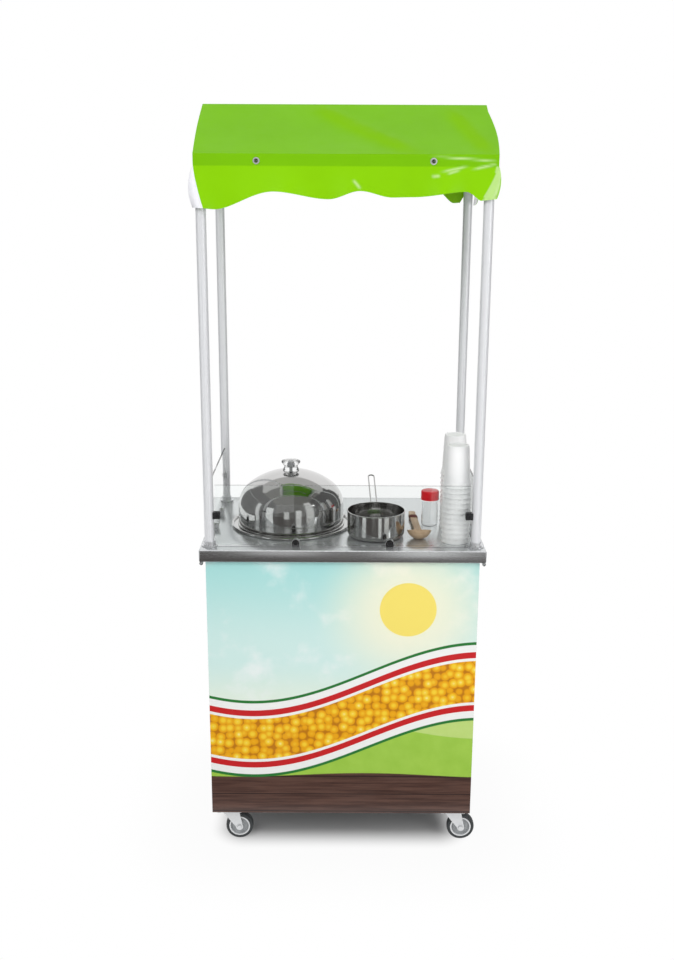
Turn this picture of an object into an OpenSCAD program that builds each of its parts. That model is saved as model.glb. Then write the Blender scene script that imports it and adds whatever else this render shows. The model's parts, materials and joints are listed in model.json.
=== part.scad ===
/* [Cabinet] */
// Width of the cabinet over its side panels
cabinet_w = 700; // [690:5:900]
// Depth of the cabinet from the front panel to the doors
cabinet_d = 458; // [440:2:600]
// Thickness of the front and side panels
panel_t = 3; // [2:0.5:5]
// Side of the square tubes of the cabinet frame
tube = 25; // [22:1:30]
// Wall of the square tubes of the cabinet frame
tube_wall = 1.5; // [1:0.25:2.5]
// Thickness of the floor sheet
floor_t = 3; // [2:0.5:5]

/* [Worktop] */
// Height of the worktop's upper face above the ground
worktop_z = 854; // [800:1:950]
// Thickness of the worktop sheet
worktop_t = 1.5; // [1:0.25:2.5]
// Height of the worktop's turned-down lip
lip_h = 32; // [24:1:45]
// Inward return at the lower edge of the lip
lip_return = 9; // [4:1:11]
// Overhang of the worktop past the side panels
overhang_side = 15; // [13:1:40]
// Overhang of the worktop past the front panel
overhang_front = 14; // [13:1:40]
// Overhang of the worktop past the doors
overhang_back = 34; // [30:1:60]

/* [Steamer] */
// Cabinet width from which the pot has its full size
pot_cabinet = 700; // [690:5:760]
// Distance of the pot's axis in front of the worktop's middle
pot_ahead = 10; // [-20:1:30]
// Inner radius of the full-size pot above the tray
pot_size = 134; // [120:1:140]
// Wall of the pot
pot_wall = 1.2; // [0.8:0.1:2]
// Depth of the pot below the worktop
pot_depth = 140; // [110:1:200]
// Depth of the tray ledge below the worktop
tray_depth = 60; // [40:1:80]
// Width of the ledge that carries the tray
tray_ledge = 8; // [5:1:12]
// Width of the pot's rim outside its bore
rim_land = 30; // [26:1:38]
// Radius of the rolled bead on the pot's rim
rim_bead = 4; // [2.5:0.5:5]
// Reach of the lid's skirt past the pot's bore
lid_land = 9; // [6:1:12]
// Height of the lid's straight skirt
lid_skirt = 51; // [40:1:80]
// Rise of the lid's domed head above the skirt
lid_rise = 98; // [86:1:115]
// Radius of the lid's shoulder
lid_shoulder = 74; // [45:1:80]
// Wall of the lid
lid_wall = 1.2; // [0.8:0.1:2]
// Radius of the lid's rolled lower edge
lid_bead = 2.4; // [1.5:0.1:3]
// Height of the pressed line round the lid's skirt
lid_line_z = 26; // [15:1:35]
// Height of the lid's knob
knob_h = 26; // [25:1:40]
// Largest radius of the lid's knob
knob_r = 26; // [22:1:32]
// Radius of the knob's waist
knob_waist = 18.5; // [13:0.5:20]
// Radius of the knob's foot
knob_foot = 22; // [19:1:26]
// Number of hole rings in the steam tray
tray_rings = 5; // [3:1:6]
// Radius of a steam hole
tray_hole = 4; // [2.5:0.5:5]
// Radius of the heating element's ring
element_r = 85; // [60:1:105]
// Radius of the heating element's tube
element_tube = 4; // [3:0.5:6]

/* [Canopy frame] */
// Outer radius of a post
post_r = 12.5; // [10:0.5:14]
// Wall of a post
post_wall = 1.2; // [1:0.1:2]
// Length of a post from the worktop to the roof rails
post_h = 937; // [700:1:1100]
// Distance of a post's axis from the worktop's side edge
post_edge_x = 24; // [22:1:40]
// Distance of a post's axis from the worktop's front and back edges
post_edge_y = 38; // [30:1:60]
// Side of the square roof rails
rail = 25; // [22:1:30]
// Wall of the square roof rails
rail_wall = 1.5; // [1:0.25:2.5]
// Rise of the roof's ridge above the rails
ridge_rise = 127; // [80:1:180]
// Radius of the ridge bar
ridge_r = 8; // [6:0.5:12]
// Width of a gable strap
strap_w = 20; // [12:1:24]
// Thickness of a gable strap
strap_t = 4; // [3:0.5:6]

/* [Canopy cover] */
// Thickness of the coated cloth
cover_t = 1.2; // [0.8:0.1:2]
// Drop of the front and side flaps below the rails
valance_drop = 67; // [40:1:120]
// Drop of the back flap below the rails
back_drop = 50; // [40:1:120]
// Extra drop at one end of each flap
corner_drop = 37; // [0:1:60]
// Rise and fall of the valance's hem
hem_swing = 8; // [0:1:25]
// Distance between two folds along the hem
hem_pitch = 196; // [100:2:300]
// Place of a fold along the hem
hem_shift = 32; // [-60:1:60]
// Outward swing of the folds at the hem
fold_depth = 9; // [2:0.5:12]
// Distance by which a front or back flap is narrower at its hem
flap_taper = 22; // [0:1:40]
// Distance of a cover screw from the middle
cover_screw_x = 207; // [120:1:280]
// Height of the cover screws above the rails' lower faces
cover_screw_z = 10.5; // [5:0.5:18]

/* [Glass] */
// Thickness of the clear panels
glass_t = 4; // [3:0.5:6]
// Height of the clear panels
glass_h = 158; // [120:1:300]
// Width and height of a glass foot
foot_w = 20; // [16:1:30]
// Place of a front glass foot from the middle
foot_x = 120; // [80:1:200]
// Place of a side glass foot from the middle
foot_y = 72; // [40:1:120]
// Height of a post clamp
clamp_h = 18; // [12:1:30]
// Reach of a post clamp past the post
clamp_l = 16; // [12:1:24]

/* [Castors] */
// Height of a castor from the ground to its plate
castor_h = 100; // [98:1:130]
// Radius of a wheel
wheel_r = 37.5; // [30:0.5:38]
// Width of a wheel
wheel_w = 24; // [20:1:32]
// Radius where the tyre meets the hub
tyre_seat_r = 29; // [26:0.5:31]
// Trail of the wheel behind the swivel
trail = 25; // [15:1:30]
// Radius of an axle
axle_r = 4; // [3:0.5:5]
// Side of a castor plate
plate_w = 75; // [70:1:80]
// Distance of a swivel axis from the frame's outer faces
castor_in = 42; // [40:1:80]

/* [Serving gear] */
// Radius of the full-size pan
pan_size = 75.5; // [60:0.5:77]
// Height of the pan
pan_h = 70; // [50:1:90]
// Gap between the pot's rim and the pan
pan_gap = 12.8; // [6:0.1:20]
// Bearing of the pan from the pot, from the right towards the front, in degrees
pan_bearing = 25.3; // [20:0.1:30]
// Length of the pan's wire handle
handle_l = 148; // [100:1:160]
// Upward slope of the pan's handle in degrees
handle_slope = 20; // [5:1:30]
// Width of the pan's handle between its wires
handle_w = 16; // [12:1:24]
// Radius of the handle's wire
wire_r = 2; // [1.5:0.25:3]
// Radius of the full-size spoon's bowl
bowl_size = 32; // [26:0.5:34]
// Depth of the full-size spoon's bowl
bowl_drop = 24; // [16:1:26]
// Backward tilt of the spoon's bowl in degrees
bowl_tilt = 15; // [0:1:20]
// Length of the spoon's handle
spoon_l = 205; // [120:1:220]
// Gap between the pan and the spoon
spoon_clear = 4.5; // [3:0.5:10]
// Gap between the spoon and the front stack of cups
spoon_gap = 25; // [23:1:30]
// Radius of the bottle
bottle_r = 22; // [18:0.5:24]
// Height of the bottle's body
bottle_h = 72; // [50:1:100]
// Height of the bottle's cap
cap_h = 25; // [22:1:40]
// Radius of a cup's mouth
cup_r = 37; // [32:0.5:40]
// Radius of a cup's foot
cup_foot_r = 27; // [22:0.5:30]
// Height of one cup
cup_h = 110; // [80:1:120]
// Step between two nested cups
cup_step = 13.4; // [10:0.2:18]
// Number of cups in a stack
cup_count = 12; // [3:1:16]

/* [Back] */
// Height of the control panel
control_h = 88; // [70:1:120]
// Depth of a door
door_t = 18; // [12:1:25]
// Sheet of a door
door_sheet = 1.2; // [0.8:0.1:2]
// Gap round a door
door_gap = 2; // [1.5:0.1:4]
// Height of a hinge
hinge_h = 60; // [45:1:90]
// Radius of a hinge knuckle
knuckle_r = 4; // [3.5:0.5:6]
// Radius of the thermostat's knob
dial_r = 21; // [16:1:26]

/* [Hidden] */
$fn = 96;
seat_gap = 0.3;
running_gap = 0.05;
slip_gap = 0.1;
over = 1;

// Plan of the cabinet, with the middle of the worktop at the origin
worktop_w = cabinet_w + 2 * overhang_side;
worktop_d = cabinet_d + overhang_front + overhang_back;
front_y = overhang_front - worktop_d / 2;
back_y = worktop_d / 2 - overhang_back;
frame_x = cabinet_w / 2 - panel_t;
frame_y = front_y + panel_t;
frame_z = castor_h + floor_t;
frame_top = worktop_z - worktop_t;
bay_x = frame_x - tube;
upright_x = frame_x - tube / 2;
upright_front = frame_y + tube / 2;
upright_back = back_y - tube / 2;
base_rail_z = frame_z + tube / 2;
top_rail_z = frame_top - tube / 2;

// Canopy
post_x = worktop_w / 2 - post_edge_x;
post_y = worktop_d / 2 - post_edge_y;
rail_z = worktop_z + post_h;
rail_top = rail_z + rail;
cover_gap = 0.5;
cover_x = post_x + rail / 2 + cover_gap;
cover_y = post_y + rail / 2 + cover_gap;
ridge_z = rail_top + ridge_rise;
roof_angle = atan((ridge_rise - cover_gap) / cover_y);
ridge_bar_z = ridge_z - (ridge_r + seat_gap) / cos(roof_angle);
socket_flange = 8;
socket_flange_t = 3;
socket_wall = 3;
socket_collar = 14;
spigot_l = 30;
spigot_gap = 0.2;
strap_clear = 6;
cover_screw_r = 2;
cover_screw_head = 5;
cover_washer_r = 8;
cover_washer_t = 1.5;
cover_screw_l = 12;
flap_cols = 32;
side_cols = 18;
flap_edge = 2;
flap_rows = 5;
corner_from = 0.55;
corner_to = 0.9;

// Glass
glass_floor = 3;
glass_z = worktop_z + glass_floor;
glass_in = post_x - glass_t / 2;
glass_clear = 1;
glass_side_gap = socket_wall + glass_clear;
foot_d = 16;
foot_screw_r = 5.5;
foot_screw_depth = 3;
clamp_w = 16;
clamp_bite = 3;
clamp_z = glass_z + glass_h / 2;

// Steamer
pot_fit = min(1, cabinet_w / pot_cabinet);
pot_r = pot_size * pot_fit;
rim_r = pot_r + rim_land * pot_fit;
lid_r = pot_r + lid_land * pot_fit;
gear_clear = 4;
pot_y = max(-pot_ahead, rim_r + foot_d / 2 + gear_clear - post_y);
pot_outer = pot_r + pot_wall;
pot_hole_r = pot_outer + over;
rim_flat = 1.5;
seat_z = worktop_z + rim_flat + seat_gap;
lid_line_r = 1.2;
crown_r = (pow(lid_r - lid_shoulder, 2) + pow(lid_rise, 2) - pow(lid_shoulder, 2))
    / (2 * (lid_rise - lid_shoulder));
crown_z = lid_skirt + lid_rise - crown_r;
lid_top = lid_skirt + lid_rise;
knob_round = 4;
knob_lip = 2;
insert_r = 7;
insert_z = 9;
insert_h = 13;
lid_screw_r = 3;
lid_screw_head = 8;
lid_screw_head_t = 4;
tray_t = 1.5;
tray_gap = 1;
tray_edge = 19;
tray_pitch = (pot_r - tray_gap - tray_hole - tray_edge) / tray_rings;
tray_first = 6;
stud_r = 4;
stud_l = 26;
clamp_disc_r = element_r + 2 * element_tube;
clamp_disc_t = 3;
nut_r = 8;
nut_h = 6;
element_turn = 330;
element_inset = 4;
element_pin_r = 2.5;
element_pin_l = 40;

// Castors
castor_x = frame_x - castor_in;
castor_front = frame_y + castor_in;
castor_back = back_y - castor_in;
plate_t = 3;
plate_bolt = 9.5;
plate_bolt_r = 3.9;
plate_bolt_head = 7;
plate_bolt_head_t = 5;
race_r = 20;
race_h = 4.7;
crown_t = 3;
fork_top = castor_h - plate_t - race_h - seat_gap;
king_r = 5;
king_head_r = 8;
king_head_t = 4;
leg_t = 2.5;
leg_gap = 1.5;
leg_in = wheel_w / 2 + leg_gap;
leg_drop = 8;
fork_back = 20;
fork_boss = 10;
axle_head_r = 7;
axle_head_t = 4.5;
hub_boss_r = 9;
hub_rim_t = 5;
hub_rim_r = tyre_seat_r - hub_rim_t;
hub_web = 4;
hub_rim_in = 1;
tyre_round = 4;

// Serving gear, placed from the right posts towards the left; where the pot leaves
// too little width, the pan and the spoon's bowl are smaller by gear_fit
cup_clear = 2;
cup_gap = 54;
cups_front_in = 6;
cups_back_x = glass_in - cup_clear - cup_r;
cups_front_x = cups_back_x - cups_front_in;
cups_front_y = -post_y + post_r + cup_clear + cup_r;
cups_back_y = cups_front_y + 2 * cup_r + cup_gap;
spoon_x = cups_front_x - cup_r - spoon_gap - bowl_size;
pot_room = rim_r + (rim_r + pan_gap) * cos(pan_bearing) + spoon_clear + gear_clear;
pan_room = pan_size * (1 + cos(pan_bearing)) + bowl_size;
gear_fit = min(1, (spoon_x + glass_in - pot_room) / pan_room);
pan_r = pan_size * gear_fit;
bowl_r = bowl_size * gear_fit;
bowl_depth = bowl_drop * gear_fit;
pan_wall = 1;
pan_corner = 14;
pan_bead = 1.4;
pan_turn = 2;
pan_handle_z = 58;
pan_off = rim_r + pan_gap + pan_r;
pan_front = pot_y + post_y - glass_t / 2 - gear_clear - pan_r - pan_bead;
pan_ahead = min(pan_off * sin(pan_bearing), pan_front);
pan_x = spoon_x - bowl_r - spoon_clear - pan_r;
pan_y = pot_y - pan_ahead;
pot_x = pan_x - sqrt(pow(pan_off, 2) - pow(pan_ahead, 2));
spoon_ahead = 29.4;
spoon_y = pan_y - spoon_ahead;
spoon_wall = 3;
spoon_turn = 1;
spoon_handle_w = 18;
spoon_handle_t = 7;
spoon_hole_r = 3;
ball_r = (pow(bowl_r, 2) + pow(bowl_depth, 2)) / (2 * bowl_depth);
bowl_mouth = bowl_depth - ball_r;
spoon_root_y = bowl_r * cos(bowl_tilt) + bowl_mouth * sin(bowl_tilt);
spoon_root_z = ball_r + bowl_mouth * cos(bowl_tilt) - bowl_r * sin(bowl_tilt) - spoon_handle_t;
spoon_slope = atan(spoon_root_z / spoon_l);
bottle_wall = 1.5;
bottle_round = 5;
neck_r = 17;
neck_h = 20;
cap_wall = 2;
cap_skirt = 5;
cap_r = neck_r + seat_gap + cap_wall + cap_skirt;
cap_round = 3;
bottle_gap = 1;
bottle_back = 15;
bottle_x = cups_back_x - cup_r - cap_r - bottle_gap;
bottle_y = cups_back_y + bottle_back;
cup_wall = 0.8;
cup_lip = 2.6;
cup_rim = 1.2;

// Back
control_t = 2;
control_top = frame_top - tube;
control_z = control_top - control_h;
control_mid = control_top - control_h / 2;
door_z = frame_z + tube + door_gap;
door_top = control_z - door_gap;
door_h = door_top - door_z;
door_edge = bay_x - door_gap;
hinge_x = bay_x - door_gap / 2;
hinge_y = back_y + knuckle_r;
hinge_spots = [door_z + door_h / 5, door_top - door_h / 5];
leaf_t = 1.5;
leaf_w = 18;
hinge_pin_r = 2;
hinge_pin_head = 3.4;
hinge_pin_head_t = 1.5;
knuckle_gap = 0.2;
leaf_clear = 0.5;
pull_x = 36;
pull_r = 14;
pull_neck = 6;
pull_l = 24;
pull_head = 10;
dial_in = 142;
dial_x = dial_in - bay_x;
dial_h = 18;
dial_flutes = 12;
dial_flute_r = 3;
dial_pointer = 3;
shaft_r = 3;
shaft_in = 24;
bush_r = 6;
bush_l = 6;
stat_w = 40;
stat_d = 30;
stat_h = 36;
switch_x = 0;
switch_w = 28;
switch_h = 20;
switch_d = 25;
bezel_t = 2.5;
bezel_edge = 2;
well_w = 24;
well_h = 16;
well_d = 14;
rocker_w = 23.4;
rocker_half = 6.6;
rocker_in = 3;
rocker_out = 7;
rocker_dip = 4.5;
rocker_pin_r = 1.5;
rocker_tilt = 8;
rocker_set = 7.5;
rocker_y = back_y + bezel_t - rocker_set;
inlet_in = 112;
inlet_x = bay_x - inlet_in;
inlet_w = 30;
inlet_h = 22;
inlet_d = 24;
inlet_flange_w = 50;
inlet_flange_h = 28;
socket_w = 25;
socket_h = 17;
socket_d = 15;
blade_l = 10;
blade_t = 2;
blade_w = 4;
blade_spread = 7;
blade_rise = 3.5;

corners = [[-1, -1], [1, -1], [-1, 1], [1, 1]];

// Straight square tube along +Z, with its middle line on the axis
module square_tube(side, wall, length) {
    linear_extrude(length)
        difference() {
            square(side, center = true);
            square(side - 2 * wall, center = true);
        }
}

// Lays a child that runs along +Z down along X, centred on the origin
module along_x(length) {
    translate([-length / 2, 0, 0])
        rotate([0, 90, 0])
            children();
}

// Lays a child that runs along +Z down along Y, centred on the origin
module along_y(length) {
    translate([0, -length / 2, 0])
        rotate([-90, 0, 0])
            children();
}

// Box between two x, two y and two z values
module span(x, y, z) {
    translate([x[0], y[0], z[0]])
        cube([x[1] - x[0], y[1] - y[0], z[1] - z[0]]);
}

// Places a child at each castor's swivel axis
module at_castors() {
    for (c = corners)
        at_castor(c)
            children();
}

// Places a child at one castor's swivel axis
module at_castor(c) {
    translate([c[0] * castor_x, c[1] < 0 ? castor_front : castor_back, 0])
        children();
}

// Places a child at each post's axis on the worktop
module at_posts() {
    for (c = corners)
        translate([c[0] * post_x, c[1] * post_y, worktop_z])
            children();
}

module bolt_spots() {
    spot = plate_w / 2 - plate_bolt;
    for (c = corners)
        translate([c[0] * spot, c[1] * spot, 0])
            children();
}

module cabinet_floor() {
    color("silver")
        difference() {
            span([-frame_x, frame_x], [frame_y, back_y], [castor_h, frame_z]);
            at_castors()
                bolt_spots()
                    translate([0, 0, castor_h - over])
                        cylinder(r = plate_bolt_r + slip_gap, h = floor_t + 2 * over);
        }
}

module corner_uprights() {
    color("silver")
        for (x = [-upright_x, upright_x], y = [upright_front, upright_back])
            translate([x, y, frame_z])
                square_tube(tube, tube_wall, frame_top - frame_z);
}

// Four tubes of one frame level, between the uprights
module rail_ring(z) {
    long = 2 * bay_x;
    short = upright_back - upright_front - tube;
    for (y = [upright_front, upright_back])
        translate([0, y, z])
            along_x(long)
                square_tube(tube, tube_wall, long);
    for (x = [-upright_x, upright_x])
        translate([x, (upright_front + upright_back) / 2, z])
            along_y(short)
                square_tube(tube, tube_wall, short);
}

module base_rails() {
    color("silver")
        rail_ring(base_rail_z);
}

module top_rails() {
    color("silver")
        rail_ring(top_rail_z);
}

module front_panel() {
    color("honeydew")
        span([-cabinet_w / 2, cabinet_w / 2], [front_y, frame_y], [castor_h, frame_top]);
}

module side_panels() {
    color("gainsboro")
        for (side = [-1, 1])
            translate([side * (frame_x + panel_t / 2), 0, 0])
                span([-panel_t / 2, panel_t / 2], [frame_y, back_y], [castor_h, frame_top]);
}

module control_panel() {
    color("gainsboro")
        difference() {
            span([-bay_x, bay_x], [back_y - control_t, back_y], [control_z, control_top]);
            translate([dial_x, back_y, control_mid])
                rotate([90, 0, 0])
                    cylinder(r = bush_r + slip_gap, h = 4 * control_t, center = true);
            translate([switch_x, back_y, control_mid])
                cube([switch_w + 2 * slip_gap, 4 * control_t, switch_h + 2 * slip_gap], center = true);
            translate([inlet_x, back_y, control_mid])
                cube([inlet_w + 2 * slip_gap, 4 * control_t, inlet_h + 2 * slip_gap], center = true);
        }
}

// Fixed half of a hinge whose leaf lies towards +X, from its lower end
module fixed_leaf() {
    third = hinge_h / 3;
    difference() {
        union() {
            span([knuckle_r + leaf_clear, knuckle_r + leaf_w], [-knuckle_r, leaf_t - knuckle_r], [0, hinge_h]);
            for (z = [0, 2 * third]) {
                span([0, knuckle_r + over], [-knuckle_r, leaf_t - knuckle_r], [z, z + third]);
                translate([0, 0, z])
                    cylinder(r = knuckle_r, h = third);
            }
        }
        translate([0, 0, -over])
            cylinder(r = hinge_pin_r + running_gap, h = hinge_h + 2 * over);
    }
}

module hinge_pin() {
    cylinder(r = hinge_pin_r, h = hinge_h + 2 * slip_gap);
    translate([0, 0, hinge_h + slip_gap])
        cylinder(r = hinge_pin_head, h = hinge_pin_head_t);
}

module hinge_leaves() {
    color("silver")
        for (side = [0, 1], z = hinge_spots)
            mirror([side, 0, 0])
                translate([hinge_x, hinge_y, z - hinge_h / 2]) {
                    fixed_leaf();
                    hinge_pin();
                }
}

module worktop() {
    inner_x = worktop_w / 2 - worktop_t;
    inner_y = worktop_d / 2 - worktop_t;
    lip_z = worktop_z - lip_h;
    color("lightgray")
        difference() {
            span([-worktop_w / 2, worktop_w / 2], [-worktop_d / 2, worktop_d / 2], [lip_z, worktop_z]);
            span([-inner_x, inner_x], [-inner_y, inner_y], [lip_z + worktop_t, frame_top]);
            span(
                [lip_return - inner_x, inner_x - lip_return],
                [lip_return - inner_y, inner_y - lip_return],
                [lip_z - over, worktop_z - lip_h / 2]
            );
            translate([pot_x, pot_y, lip_z])
                cylinder(r = pot_hole_r, h = lip_h + over);
        }
}

module steam_pot() {
    lower_r = pot_r - tray_ledge;
    color("silver")
        translate([pot_x, pot_y, worktop_z]) {
            rotate_extrude() {
                translate([pot_r, 0])
                    square([rim_r - rim_bead - pot_r, rim_flat]);
                translate([rim_r - rim_bead, rim_bead])
                    circle(r = rim_bead);
                translate([pot_r, -tray_depth - pot_wall])
                    square([pot_wall, tray_depth + pot_wall + rim_flat]);
                translate([lower_r, -tray_depth - pot_wall])
                    square([tray_ledge, pot_wall]);
                translate([lower_r, -pot_depth])
                    square([pot_wall, pot_depth - tray_depth]);
                translate([0, -pot_depth])
                    square([lower_r + pot_wall, pot_wall]);
            }
            translate([0, 0, -pot_depth - stud_l])
                cylinder(r = stud_r, h = stud_l + pot_wall);
        }
}

module steam_tray() {
    color("silver")
        translate([pot_x, pot_y, worktop_z - tray_depth])
            difference() {
                cylinder(r = pot_r - tray_gap, h = tray_t);
                for (ring = [0 : tray_rings], i = [0 : max(1, tray_first * ring) - 1])
                    rotate([0, 0, i * 360 / max(1, tray_first * ring)])
                        translate([ring * tray_pitch, 0, -over])
                            cylinder(r = tray_hole, h = tray_t + 2 * over);
            }
}

module heating_element() {
    ring_z = worktop_z - pot_depth - element_tube - seat_gap;
    color("dimgray")
        translate([pot_x, pot_y, ring_z])
            rotate([0, 0, (360 - element_turn) / 2 + 90]) {
                rotate_extrude(angle = element_turn)
                    translate([element_r, 0])
                        circle(r = element_tube);
                for (turn = [element_inset, element_turn - element_inset])
                    rotate([0, 0, turn])
                        translate([element_r, 0, -element_pin_l])
                            cylinder(r = element_pin_r, h = element_pin_l);
            }
}

module element_clamp() {
    disc_top = worktop_z - pot_depth - 2 * element_tube - 2 * seat_gap;
    color("gray")
        translate([pot_x, pot_y, disc_top - clamp_disc_t]) {
            difference() {
                cylinder(r = clamp_disc_r, h = clamp_disc_t);
                translate([0, 0, -over])
                    cylinder(r = stud_r + slip_gap, h = clamp_disc_t + 2 * over);
                rotate([0, 0, 90])
                    for (turn = [-1, 1])
                        rotate([0, 0, turn * ((360 - element_turn) / 2 + element_inset)])
                            translate([element_r, 0, -over])
                                cylinder(r = element_pin_r + over, h = clamp_disc_t + 2 * over);
            }
            translate([0, 0, -nut_h - slip_gap])
                difference() {
                    cylinder(r = nut_r, h = nut_h, $fn = 6);
                    translate([0, 0, -over])
                        cylinder(r = stud_r + slip_gap, h = nut_h + 2 * over, $fn = 48);
                }
        }
}

module thermostat_body() {
    color("black")
        translate([dial_x, back_y - control_t, control_mid])
            difference() {
                union() {
                    span([-stat_w / 2, stat_w / 2], [-stat_d, 0], [-stat_h / 2, stat_h / 2]);
                    rotate([-90, 0, 0])
                        cylinder(r = bush_r, h = bush_l);
                }
                translate([0, -shaft_in, 0])
                    rotate([-90, 0, 0])
                        cylinder(r = shaft_r + running_gap, h = shaft_in + bush_l + over);
            }
}

module thermostat_shaft() {
    color("silver")
        translate([dial_x, back_y - control_t - shaft_in + seat_gap, control_mid])
            rotate([-90, 0, 0])
                cylinder(r = shaft_r, h = shaft_in + bush_l + dial_h / 2);
}

module thermostat_knob() {
    bore = dial_h / 2 + seat_gap;
    color("black")
        translate([dial_x, back_y - control_t + bush_l + seat_gap, control_mid])
            rotate([-90, 0, 0])
                difference() {
                    union() {
                        cylinder(r = dial_r, h = dial_h);
                        translate([-dial_pointer / 2, 0, dial_h - over])
                            cube([dial_pointer, dial_r - dial_flute_r, 2 * over]);
                    }
                    for (i = [0 : dial_flutes - 1])
                        rotate([0, 0, (i + 0.5) * 360 / dial_flutes])
                            translate([dial_r + dial_flute_r / 2, 0, dial_h / 4])
                                cylinder(r = dial_flute_r, h = dial_h);
                    translate([0, 0, -over])
                        cylinder(r = shaft_r + running_gap, h = bore + over);
                }
}

module switch_housing() {
    color("black")
        translate([switch_x, back_y, control_mid])
            difference() {
                union() {
                    translate([0, (bezel_t - switch_d) / 2, 0])
                        cube([switch_w, switch_d + bezel_t, switch_h], center = true);
                    translate([0, bezel_t / 2, 0])
                        cube([switch_w + 2 * bezel_edge, bezel_t, switch_h + 2 * bezel_edge], center = true);
                }
                translate([0, bezel_t - well_d / 2 + over / 2, 0])
                    cube([well_w, well_d + over, well_h], center = true);
                translate([0, rocker_y - back_y, 0])
                    rotate([0, 90, 0])
                        cylinder(r = rocker_pin_r + running_gap, h = switch_w + 2 * over, center = true);
            }
}

module switch_rocker() {
    pin_l = well_w + (switch_w - well_w) / 2;
    color("red")
        translate([switch_x, rocker_y, control_mid])
            rotate([-rocker_tilt, 0, 0])
                rotate([0, 90, 0]) {
                    cylinder(r = rocker_pin_r, h = pin_l, center = true);
                    translate([0, 0, -rocker_w / 2])
                        linear_extrude(rocker_w)
                            polygon([
                                [-rocker_half, -rocker_in],
                                [rocker_half, -rocker_in],
                                [rocker_half, rocker_out],
                                [0, rocker_dip],
                                [-rocker_half, rocker_out]
                            ]);
                }
}

module power_inlet() {
    color("black")
        translate([inlet_x, back_y, control_mid]) {
            difference() {
                union() {
                    translate([0, (bezel_t - inlet_d) / 2, 0])
                        cube([inlet_w, inlet_d + bezel_t, inlet_h], center = true);
                    translate([0, bezel_t / 2, 0])
                        cube([inlet_flange_w, bezel_t, inlet_flange_h], center = true);
                }
                translate([0, bezel_t - socket_d / 2 + over / 2, 0])
                    cube([socket_w, socket_d + over, socket_h], center = true);
            }
            for (blade = [[-blade_spread, -blade_rise], [0, blade_rise], [blade_spread, -blade_rise]])
                translate([blade[0], bezel_t - socket_d + blade_l / 2 - over / 2, blade[1]])
                    cube([blade_t, blade_l + over, blade_w], center = true);
        }
}

module post_sockets() {
    color("silver")
        at_posts()
            difference() {
                union() {
                    cylinder(r = post_r + socket_flange, h = socket_flange_t);
                    cylinder(r = post_r + socket_wall, h = socket_collar);
                }
                translate([0, 0, -over])
                    cylinder(r = post_r + slip_gap, h = socket_collar + 2 * over);
            }
}

module posts() {
    color("gainsboro")
        at_posts()
            difference() {
                cylinder(r = post_r, h = post_h);
                translate([0, 0, -over])
                    cylinder(r = post_r - post_wall, h = post_h + 2 * over);
            }
}

// Corner block with a spigot for the post and one for each roof rail
module roof_corner() {
    round_r = post_r - post_wall - spigot_gap;
    bar = rail - 2 * rail_wall - 2 * spigot_gap;
    reach = rail / 2 + spigot_l;
    translate([0, 0, rail / 2]) {
        cube(rail, center = true);
        span([-reach, 0], [-bar / 2, bar / 2], [-bar / 2, bar / 2]);
        span([-bar / 2, bar / 2], [-reach, 0], [-bar / 2, bar / 2]);
    }
    translate([0, 0, -spigot_l])
        cylinder(r = round_r, h = spigot_l + over);
}

module roof_corners() {
    color("gray")
        for (c = corners)
            mirror([c[0] < 0 ? 1 : 0, 0, 0])
                mirror([0, c[1] < 0 ? 1 : 0, 0])
                    translate([post_x, post_y, rail_z])
                        roof_corner();
}

// Bores for the cover screws, along Y through the long rails or the cover
module screw_bores(r, y) {
    for (x = [-cover_screw_x, cover_screw_x], side = [-1, 1])
        translate([x, side * y, rail_z + cover_screw_z])
            rotate([90, 0, 0])
                cylinder(r = r, h = rail, center = true);
}

module roof_rails() {
    long = 2 * post_x - rail;
    short = 2 * post_y - rail;
    color("gainsboro")
        translate([0, 0, rail_z + rail / 2]) {
            difference() {
                for (y = [-post_y, post_y])
                    translate([0, y, 0])
                        along_x(long)
                            square_tube(rail, rail_wall, long);
                translate([0, 0, -rail_z - rail / 2])
                    screw_bores(cover_screw_r + slip_gap, post_y + rail / 2);
            }
            for (x = [-post_x, post_x])
                translate([x, 0, 0])
                    along_y(short)
                        square_tube(rail, rail_wall, short);
        }
}

// Bent strap that stands on the side rails and carries the ridge bar
module gable_straps() {
    seat_y = ridge_r;
    seat = ridge_bar_z - ridge_r;
    heel_y = post_y - rail / 2 - strap_clear;
    outline = [
        [heel_y + rail / 2, rail_top],
        [heel_y + rail / 2, rail_top + strap_t],
        [heel_y, rail_top + strap_t],
        [seat_y, seat],
        [-seat_y, seat],
        [-heel_y, rail_top + strap_t],
        [-heel_y - rail / 2, rail_top + strap_t],
        [-heel_y - rail / 2, rail_top],
        [-heel_y + strap_t, rail_top],
        [-seat_y + strap_t / 2, seat - strap_t],
        [seat_y - strap_t / 2, seat - strap_t],
        [heel_y - strap_t, rail_top]
    ];
    color("gray")
        for (x = [-post_x, post_x])
            translate([x - strap_w / 2, 0, 0])
                rotate([90, 0, 90])
                    linear_extrude(strap_w)
                        polygon(outline);
}

module ridge_bar() {
    length = 2 * post_x + strap_w;
    color("gray")
        translate([0, 0, ridge_bar_z])
            along_x(length)
                difference() {
                    cylinder(r = ridge_r, h = length);
                    translate([0, 0, -over])
                        cylinder(r = ridge_r - rail_wall, h = length + 2 * over);
                }
}

// End view of the roof, thickened outwards by t
module roof_profile(t) {
    eave = rail_top + cover_gap;
    lift = t / cos(roof_angle);
    side = cover_y + t;
    shoulder = eave + lift - t * tan(roof_angle);
    polygon([
        [-side, rail_z],
        [-side, shoulder],
        [0, ridge_z + lift],
        [side, shoulder],
        [side, rail_z]
    ]);
}

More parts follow.
